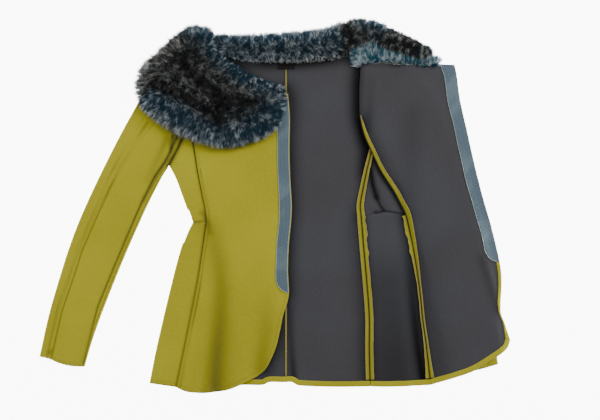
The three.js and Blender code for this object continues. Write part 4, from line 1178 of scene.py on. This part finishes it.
def stitches(name, line, material, on, pitch=3.4, length=2.6, gauge=0.5, slant=0.0, rise=0.1):
    """Beads at even steps along a line of points in mm, each turned along it by its slant."""
    run = np.concatenate([[0], np.cumsum(np.linalg.norm(np.diff(line, axis=0), axis=1))])
    places = np.arange(pitch / 2, run[-1], pitch)
    centre = np.column_stack([np.interp(places, run, line[:, k]) for k in range(3)])
    along = np.gradient(centre, axis=0)
    along /= np.linalg.norm(along, axis=1, keepdims=True)
    side = np.cross([0, 0, 1], along)
    side /= np.linalg.norm(side, axis=1, keepdims=True)
    turned = along * np.cos(slant) + side * np.sin(slant)
    across = side * np.cos(slant) - along * np.sin(slant)
    up = np.cross(turned, across)
    axes = np.stack([turned * length / 2, across * gauge, up * gauge * 0.8], 1)
    points = centre[:, None] + np.einsum("bk,nkc->nbc", BEAD, axes) + [0, 0, rise]
    faces = (BEAD_FACES[None] + 6 * np.arange(len(centre))[:, None, None]).reshape(-1, 3)
    uv = np.tile(BEAD[:, :2] / 1000, (len(centre), 1))
    wear(mesh_object(name, to_row(points.reshape(-1, 3)), faces, [material], None, uv), None, on)


def on_cloth(plan, height):
    """A line in plan, laid on the upper face of the cloth."""
    return np.column_stack([plan, height(plan[:, 0], plan[:, 1]) + CLOTH / 2])


def beside(curve, toward, distance, start=0.0, stop=1.0, steps=160):
    """A line at a set distance inside a curve."""
    line, inward = edge_and_inward(curve, toward, start, stop, steps)
    return line + inward * distance


# %% Topstitching on the outer face
front_seam_right = RIGHT["front_seam_lower"] + RIGHT["front_seam_upper"][1:]
TOPSTITCH = {
    "topstitch_front_seam": beside(front_seam_right, [(-60, 0), (0, 556)], 7.5, 0.02, 1),
    "topstitch_hem_front": beside(RIGHT["front_hem"], [(-220, 60), (-60, 70)], 8, 0.01, 1),
    "topstitch_edge_lower": beside(RIGHT["front_edge"], [(-231, 0), (-140, 650)], 6, 0, 0.335),
    "topstitch_hem_side": beside(RIGHT["side_hem_over"], [(-270, 60), (-225, 60)], 8, 0.03, 0.97, 20),
}
for name, plan in TOPSTITCH.items():
    on = "cloth_side_right_lower" if "side" in name else "cloth_front_right"
    stitches(name, on_cloth(plan, right_front_height), STITCH, on, gauge=0.55)
STITCH_INSET, CLOTH_FACE = 8, [0, 0, CLOTH / 2]
from_seam = right_outer_strip[:, 4] - right_outer_strip[:, 0]
share_of_strip = (STITCH_INSET / np.linalg.norm(from_seam, axis=1))[:, None]
sleeve_line = right_outer_strip[:, 0] + from_seam * share_of_strip
for name, line, on, gauge in (
    ("topstitch_sleeve", sleeve_line[2:-4], "cloth_sleeve_right_under", 0.55),
    ("topstitch_cuff", right_upper_sleeve[1], "cloth_sleeve_right_upper", 0.5),
):
    stitches(name, line + CLOTH_FACE, STITCH, on, gauge=gauge)

# %% Tape stitching and overlocked edges
TAPE_FACE = [0, 0, 0.45]
for half, tape in (("left", left_tape), ("right", right_tape)):
    for which, column in (("outer", -1), ("inner", 0)):
        stitches(
            f"tape_stitch_{half}_{which}", tape[:, column] + TAPE_FACE, PALE_STITCH,
            f"cloth_front_{half}", pitch=2.6, length=2.7, gauge=0.9, rise=0.25,
        )
SERGED_ON = {
    "back_lower_back": "cloth_back_left",
    "back_lower_side": "cloth_side_left_lower",
    "back_upper_side": "cloth_side_left_upper",
    "front_lower_side": "cloth_side_left_lower",
    "front": "cloth_front_left",
}
for name, (line, inward) in SERGED.items():
    stitches(
        f"overlock_{name}", line - inward * 0.6, OVERLOCK, SERGED_ON[name],
        pitch=1.6, length=3.2, gauge=0.7, slant=1.0, rise=0.3,
    )

# %% Neck label
LABEL_HEIGHT, LABEL_THICK, LABEL_BOW, LABEL_WAVES = 2.75, 0.7, 0.4, 2.2
label_columns, label_rows = np.linspace(-LABEL_HALF, LABEL_HALF, 18), np.linspace(LABEL_BOTTOM, LABEL_TOP, 8)
label_grid = np.stack(np.meshgrid(label_columns, label_rows), -1)
bow = LABEL_BOW * np.sin((label_grid[..., 0] + LABEL_HALF) / (2 * LABEL_HALF) * np.pi * LABEL_WAVES)
wear(
    shell("label_tab", np.dstack([label_grid, LABEL_HEIGHT + bow + LIFT]), LABEL_THICK, LABEL),
    "neck_label", "cloth_back_left",
)
print("neck label:", 2 * LABEL_HALF, "by", LABEL_TOP - LABEL_BOTTOM, "mm")

# %% [markdown]
# ## The fur collar
# Long pile on a knitted backing. The backing is a soft dark body set in from the fur's own outline,
# and every fibre is a narrow blade of three triangles that grows from it: out sideways at the rim,
# upward in the middle, and leaning together in small tufts. Its colour is dark at the root and pale
# at the tip. Blue fibres run in broad bands between brown ones, and the pile parts along furrows,
# where its fibres are painted darker as shade.

# %% The backing's surface
FUR_OVER_CLOTH = 8.7


def backing_surface(form, a, b):
    """Points of the backing at shares a along and b across. Across, it is a half ellipse between the
    two outlines, each set in by the pile's reach. Its loft follows the solid's: a sine to the power 0.45."""
    first, last = form["ends"]
    v = first + a * (last - first)
    near, far = spline(form["inner"], v.ravel()), spline(form["outer"], v.ravel())
    near, far = near.reshape(*v.shape, 2), far.reshape(*v.shape, 2)
    wide = np.linalg.norm(far - near, axis=-1)
    reaches = (np.interp(a, *zip(*form["reach"][side])) for side in ("near", "far"))
    near_inset, far_inset = (np.clip(reach / np.maximum(wide, 1), -0.2, 0.36) for reach in reaches)
    u = near_inset + b * (1 - near_inset - far_inset)
    plan = near + (far - near) * u[..., None]
    outward = smooth((u - 0.35) / 0.65)
    floor = form["under"](v) * outward + form["base"] * (1 - outward)
    loft = form["height"] * np.sin(np.pi * np.clip(0.12 + v * 0.76, 0, 1)) ** 0.45
    round_end = np.sqrt(np.clip(1 - np.abs(2 * a - 1) ** 8, 0, 1))
    dome = np.sqrt(np.clip(1 - (2 * b - 1) ** 2, 0, 1)) * round_end
    top = np.maximum(loft - form["stand"], 5) * dome
    for line, half, depth in form["furrows"]:
        top = top * (1 - depth * np.exp(-((distance_to(line, plan)[0] / half) ** 2)))
    return np.concatenate([plan, (floor + 1.5 + top)[..., None]], -1)


def add_backing(name, node, form):
    """The backing as a closed body: its domed top, and the same grid flattened for its underside."""
    a, b = np.meshgrid(evenly(60), (1 - np.cos(np.pi * evenly(22))) / 2, indexing="ij")
    top = backing_surface(form, a, b)
    under = top.copy()
    under[..., 2] = top[:, :1, 2] * (1 - b) + top[:, -1:, 2] * b - 1.0
    rows, columns = a.shape
    index = np.arange(rows * columns).reshape(rows, columns)
    over, loop = grid_faces(index), rim_of(index)
    following = np.roll(loop, -1)
    rim = np.stack([loop, loop + rows * columns, following + rows * columns, following], -1)
    faces = np.vstack([over, over[:, ::-1] + rows * columns, rim])
    if np.cross(top[30, 12] - top[30, 10], top[32, 11] - top[30, 11])[2] < 0:
        faces = faces[:, ::-1]
    uv = np.vstack([top.reshape(-1, 3)[:, :2], under.reshape(-1, 3)[:, :2]]) / 1000
    points = np.vstack([top.reshape(-1, 3), under.reshape(-1, 3)])
    piece = wear(mesh_object(name, to_row(points), faces, [BACKING], None, uv), node)


# %% Fibres
WIDE_LOCK = 11
BLUE = [linear(c)[:3] for c in ("#02080B", "#0E394C", "#E2ECF0")]
TEAL = [linear(c)[:3] for c in ("#061D28", "#20667C", "#F6FFFF")]
BLACK = [linear(c)[:3] for c in ("#040404", "#21201D", "#D2D4CE")]


def unit(vectors):
    """The vectors, each divided by its own length."""
    return vectors / np.maximum(np.linalg.norm(vectors, axis=-1, keepdims=True), 1e-9)


def locks(points, cell, seed):
    """Fibres whose roots share a cell of a skewed, wavy grid gather into one lock. Gives each
    fibre's step in plan to the middle of its lock, and three random numbers that the lock shares."""
    skew = np.array([[1, 0.35], [-0.3, 1]])
    crossed = points[:, 1::-1]
    wavy = points[:, :2] + 2.6 * np.sin(crossed / [5.3, 6.1]) + 1.1 * np.sin(crossed / [1.9, 2.3])
    cells = np.floor(wavy @ skew / cell)
    mixed = cells @ [12.9898, 78.233] + seed
    shared = np.stack([np.sin(mixed + turn) * 43758.5453 % 1 for turn in (0, 2, 4)], -1)
    return (cells + 0.2 + 0.6 * shared[:, :2]) * cell @ np.linalg.inv(skew) - wavy, shared


def blue_share(form, plan):
    """How blue the pile is: 1 on a blue line, falling to the form's ground share beyond its width."""
    share = np.full(len(plan), form["ground"])
    for line, half in form["blue"]:
        share = np.maximum(share, near_line(line, half, plan) * 1.25)
    return np.clip(share, 0, 1)


def slope(form, a, b, step_a, step_b):
    """The difference between the backing's points a small step forward and one back, held at its ends."""
    forward = backing_surface(form, np.clip(a + step_a, 0, 1), np.clip(b + step_b, 0, 1))
    return forward - backing_surface(form, np.clip(a - step_a, 0, 1), np.clip(b - step_b, 0, 1))


def near_line(line, half, points):
    """A Gaussian of each point's distance in plan from a line: 1 on it."""
    return np.exp(-((distance_to(line, points[:, :2])[0] / half) ** 2))


def fibre_points(form, rng, count, length, width):
    """Five points for each fibre: two at its root, two at a bend at 55% of its length and its tip. It
    grows along the surface's normal, laid over towards the nearer border, and its tip is drawn
    towards the middle of its lock. Also gives what its colour depends on: its root, its share
    across, its locks' random numbers and how open the pile is there, which also sets how much
    painted shade it takes."""
    a, b = rng.random(count), (1 - np.cos(np.pi * rng.random(count))) / 2
    a = np.where(rng.random(count) < 0.14, (1 - np.cos(np.pi * a)) / 2, a)
    step = 0.004
    root = backing_surface(form, a, b)
    along, across = slope(form, a, b, step, 0), slope(form, a, b, 0, step)
    normal = unit(np.cross(across, along))
    normal *= np.where(normal[:, 2:] < 0, -1, 1)
    level = np.array([1, 1, 0])
    pull, shared = locks(root, form["lock"], 7)
    _, wide_shared = locks(root, WIDE_LOCK, 8)
    sideways = (2 * b - 1) * np.where(b < 0.5, form["near_lay"], 1)
    lay = unit(across * level) * sideways[:, None] + unit(along * level) * ((2 * a - 1) ** 7)[:, None]
    flow = np.column_stack([np.interp(root[:, 0], form["flow"][:, 0], form["flow"][:, k]) for k in (1, 2, 3)])
    lean = (shared - 0.5) * 0.7 + (wide_shared - 0.5) * 0.5
    grain = normal + form["lay"] * lay + flow + lean + rng.normal(0, 0.17, (count, 3))
    grain[:, 2] = np.maximum(grain[:, 2], 0.04)
    grain = unit(grain)
    size = length * (0.72 + 0.3 * rng.random(count) + 0.25 * shared[:, 0])
    size *= 1 - form["short"] * (1 - smooth(b / 0.3))
    open_and_unshaded = np.ones(count)
    for line, half, _ in form["furrows"]:
        open_and_unshaded *= 1 - near_line(line, half, root)
    size *= 0.65 + 0.35 * open_and_unshaded
    gather = np.column_stack([pull, np.zeros(count)])
    droop = grain * [0.3, 0.3, 0] - [0, 0, 0.3] + rng.normal(0, 0.1, (count, 3))
    bend = root + grain * (0.55 * size)[:, None] + gather * 0.3
    tip = bend + (grain + droop) * (0.45 * size)[:, None] + gather * 0.45
    bend[:, 2], tip[:, 2] = np.maximum(bend[:, 2], 1), np.maximum(tip[:, 2], 1)
    for line, half, _ in form["furrows"]:
        open_and_unshaded = np.minimum(open_and_unshaded, 1 - near_line(line, 0.8 * half, tip))
    side = unit(np.cross(grain, rng.normal(0, 1, (count, 3))))
    side = side * (width * (0.3 + 0.35 * rng.random((count, 1))))
    points = np.stack([root - side, root + side, bend - side * 0.85, bend + side * 0.85, tip], 1)
    return points, root, b, shared, wide_shared, open_and_unshaded


def fibre_colours(form, rng, frosted, root, b, shared, wide_shared, open_and_unshaded):
    """A colour for each of a fibre's five points, dark at the root. Blue is mixed in by its share of
    the place, and whether a tip is pale is settled lock by lock. Where the pile parts in a furrow, the
    fibres are painted darker and their pale tips dimmed, as shade."""
    count = len(root)
    share = blue_share(form, root[:, :2]) + rng.normal(0, 0.1, count)
    share = np.clip(share + 0.4 * (wide_shared[:, 1] - 0.5), 0, 1)[:, None, None]
    colours = np.array(BLACK)[None] * (1 - share) + np.array(form["palette"])[None] * share
    pale = form["plain"] + form["border"] * smooth((b - 0.86) / 0.12)
    for line, half, gain in form["crests"]:
        pale = pale + gain * near_line(line, half, root)
    # Painted shade in the furrows: fewer pale tips and darker fibres where the pile parts.
    frost = (shared[:, 2] < frosted * pale) * (0.55 + 0.45 * rng.random(count)) * (0.1 + 0.9 * open_and_unshaded)
    frost = (frost * form["frost"])[:, None]
    bright = (0.55 + 0.5 * rng.random(count) + 0.35 * shared[:, 1]) * (0.12 + 0.88 * open_and_unshaded)
    mid = colours[:, 1] * bright[:, None]
    tip_colour = mid + (colours[:, 2] - mid) * frost
    mid_colour = mid + (colours[:, 2] - mid) * frost * 0.62
    return np.stack([colours[:, 0], colours[:, 0], mid_colour, mid_colour, tip_colour], 1)


def add_pile(name, form, count, seed, length, width, frosted):
    """Grows fibres on the backing, each of three triangles, and stores their colours on them."""
    rng = np.random.default_rng(seed)
    points, *grown = fibre_points(form, rng, count, length, width)
    five = fibre_colours(form, rng, frosted, *grown)
    faces = np.array([(0, 1, 3), (0, 3, 2), (2, 3, 4)])[None] + 5 * np.arange(count)[:, None, None]
    piece = mesh_object(name, to_row(points.reshape(-1, 3)), faces.reshape(-1, 3), [PILE])
    stored = piece.data.attributes.new("pile", "FLOAT_COLOR", "POINT")
    rgba = np.concatenate([five.reshape(-1, 3), np.ones((count * 5, 1))], 1)
    stored.data.foreach_set("color", rgba.astype(np.float32).ravel())
    wear(piece, None)
    print(f"{name}: {count} fibres")


# %% The fall on the right front
RIGHT_FALL = {
    "inner": [
        (-160, 742), (-153.5, 724), (-147, 706), (-140.5, 688), (-122, 672), (-97, 655), (-71, 640),
        (-46, 630), (-21, 624), (0, 615), (6, 598),
    ],
    "outer": [
        (-172, 750), (-200, 746), (-227, 729), (-254, 710), (-281, 682), (-307, 659), (-317, 634),
        (-317, 609), (-307, 580), (-286, 559), (-254, 533), (-223, 514), (-191, 502), (-155, 491),
        (-122, 491), (-86, 499), (-50, 514), (-23, 536), (-4, 559), (5, 580),
    ],
    "height": 38, "stand": 13, "ends": (0.075, 0.888), "base": FUR_OVER_CLOTH, "frost": 1.0,
    "reach": {
        "near": [(0, 6), (0.6, 6), (1, 8)],
        "far": [(0, 25), (0.2, 25), (0.35, 17), (0.5, 20), (0.7, 24), (1, 22)],
    },
    "lock": 2.7, "short": 0.45, "near_lay": 0.7, "palette": BLUE, "plain": 0.75, "border": 1.2,
    "under": lambda v: 1 + (FUR_OVER_CLOTH - 1) * smooth((v - 0.19) / 0.08),
    "furrows": [
        ([(-218, 668), (-194, 646), (-170, 627), (-144, 612), (-124, 591), (-84, 584), (-64, 586)], 11, 0.6),
        ([(-144, 612), (-136, 582), (-139, 545)], 13, 0.45),
        ([(-281, 627), (-252, 612), (-218, 601), (-185, 581), (-166, 564), (-141, 550)], 10, 0.55),
    ],
    "crests": [
        ([(-236, 592), (-202, 578), (-168, 551), (-150, 530)], 8, 1.2),
        ([(-200, 655), (-160, 640), (-130, 620), (-112, 600), (-80, 604), (-40, 594)], 8, 1.0),
        ([(-240, 640), (-200, 616), (-172, 596)], 12, 0.7),
        ([(-296, 640), (-256, 662), (-218, 700)], 17, 0.5),
    ],
    "blue": [
        ([(-185, 738), (-160, 700), (-122, 664), (-86, 636), (-50, 617), (-22, 600)], 24),
        ([(-270, 588), (-223, 567), (-181, 540), (-134, 522), (-86, 530), (-44, 552), (-13, 586)], 25),
        ([(-312, 640), (-316, 610)], 12),
    ],
    "ground": 0.04, "flow": np.array([(0, 0, -0.1, 0)]), "lay": 0.8, "slot": "dark_fur",
}
add_backing("fur_backing_right", "fur_collar_right", RIGHT_FALL)
add_pile("fur_pile_right_under", RIGHT_FALL, count=64000, seed=11, length=14, width=1.0, frosted=0.11)
add_pile("fur_pile_right_guard", RIGHT_FALL, count=56000, seed=12, length=18, width=1.1, frosted=0.22)

# %% The roll behind the neck
BACK_ROLL = {
    "inner": [
        (-147, 690.5), (-130, 690.5), (-119, 688), (-97, 679), (-50, 674.5), (0, 673.5), (29, 673.5),
        (78, 676), (107, 681), (130.2, 688),
    ],
    "outer": [(-163, 733), (-105, 733), (-50, 735), (8, 739), (50, 743), (82, 748), (108, 757), (131.3, 765)],
    "height": 36, "stand": 13, "ends": (0.0, 1.0), "base": 0.0, "frost": 1.0,
    "reach": {"near": [(0, -1.6), (1, -1.6)], "far": [(0, 18), (1, 18)]},
    "lock": 2.7, "short": 0.84, "near_lay": 0.3, "palette": BLUE, "plain": 0.9, "border": 1.2,
    "crests": [([(-130, 684), (-50, 680), (29, 680), (107, 688)], 9, 0.5)],
    "under": lambda v: 0 * v,
    "furrows": [([(-148, 730), (-140, 706), (-134, 690)], 3, 0.3), ([(124, 742), (124, 692)], 7, 0.5)],
    "blue": [([(-130, 706), (-50, 704), (29, 706), (90, 714)], 30)],
    "ground": 0.25, "flow": np.array([(0, 0.05, 0, 0)]), "lay": 0.75, "slot": "blue_fur",
}
add_backing("fur_backing_back", "fur_collar_back", BACK_ROLL)
add_pile("fur_pile_back_under", BACK_ROLL, count=30000, seed=21, length=12, width=1.0, frosted=0.12)
add_pile("fur_pile_back_guard", BACK_ROLL, count=30000, seed=22, length=15, width=1.1, frosted=0.33)

# %% The left fall and the stand in front of it
LEFT_FALL = {
    "inner": [
        (122, 687), (139, 692), (158, 712), (170, 722), (187, 718.5), (200, 706.5), (225, 697.5),
        (246, 691.5), (271, 684.5), (296, 682.5), (312, 677),
    ],
    "outer": [(126, 763), (151, 769), (178, 763), (206, 750), (233, 739), (262, 722), (292, 701), (316, 683)],
    "height": 33, "stand": 13, "ends": (0.0, 0.9), "base": 0.0, "frost": 0.9,
    "reach": {"near": [(0, 4), (1, 4)], "far": [(0, 19), (0.5, 16), (1, 13)]},
    "lock": 2.2, "short": 0.2, "near_lay": 1.0, "palette": BLUE, "plain": 0.95, "border": 0.8, "crests": [],
    "under": lambda v: 0 * v,
    "furrows": [([(139, 738), (132, 700)], 6, 0.4)],
    "blue": [([(146, 760), (176, 748), (200, 740)], 14)],
    "ground": 0.06, "flow": np.array([(0, 0.1, 0, 0)]), "lay": 0.7, "slot": "dark_fur",
}
LEFT_STAND = {
    "inner": [
        (146, 688), (150, 677), (155, 666), (166, 667), (206, 671.5), (240, 668), (270, 665), (316, 664),
    ],
    "outer": [
        (144, 700), (149, 712), (164, 723.5), (187, 717.5), (199, 705.5), (225, 696.5), (246, 690),
        (271, 683), (295, 681), (318, 670.5),
    ],
    "height": 26, "stand": 17, "ends": (0.01, 0.99), "base": 0.0, "frost": 1.0,
    "reach": {"near": [(0, 5), (0.06, 3), (0.12, -2.4), (1, -2.0)], "far": [(0, 9), (0.4, 9), (1, 5)]},
    "lock": 2.3, "short": 0.0, "near_lay": 1.0, "palette": TEAL, "plain": 0.85, "border": 1.8, "crests": [],
    "under": lambda v: 0 * v,
    "furrows": [], "ground": 1.0, "lay": 0.15,
    "blue": [([(140, 690), (170, 690), (240, 680), (318, 668)], 60)],
    "flow": np.array([
        (140, -0.4, 0.4, 0), (152, -0.4, 0.6, 0), (160, -0.2, 1.3, 0), (174, 0, 1.8, 0), (318, 0.15, 1.6, 0),
    ]),
    "slot": "blue_fur",
}
add_backing("fur_backing_left_fall", "fur_collar_left_fall", LEFT_FALL)
add_backing("fur_backing_left_stand", "fur_collar_left_stand", LEFT_STAND)
add_pile("fur_pile_left_fall", LEFT_FALL, count=36000, seed=31, length=13, width=1.1, frosted=0.25)
add_pile("fur_pile_left_stand", LEFT_STAND, count=24000, seed=41, length=16, width=1.0, frosted=0.7)

# %% [markdown]
# ## The table
# A plain white table lies under the jacket.

# %% Floor
FLOOR_HALF, FLOOR_DROP = 4, 0.0006
floor_corners = np.array([(-1, -1, 0), (1, -1, 0), (1, 1, 0), (-1, 1, 0)], float)
floor_material, _, _ = new_material(
    "matt_white_table", Base_Color=linear("#F8F8F8"), Roughness=0.95, Emission_Color=linear("#FFFFFF"),
    Emission_Strength=9.0,
)
floor_points = floor_corners * FLOOR_HALF - [0, 0, FLOOR_DROP]
floor = mesh_object("table", floor_points, np.array([(0, 1, 2, 3)]), [floor_material])
print("table:", 2 * FLOOR_HALF, "m wide")
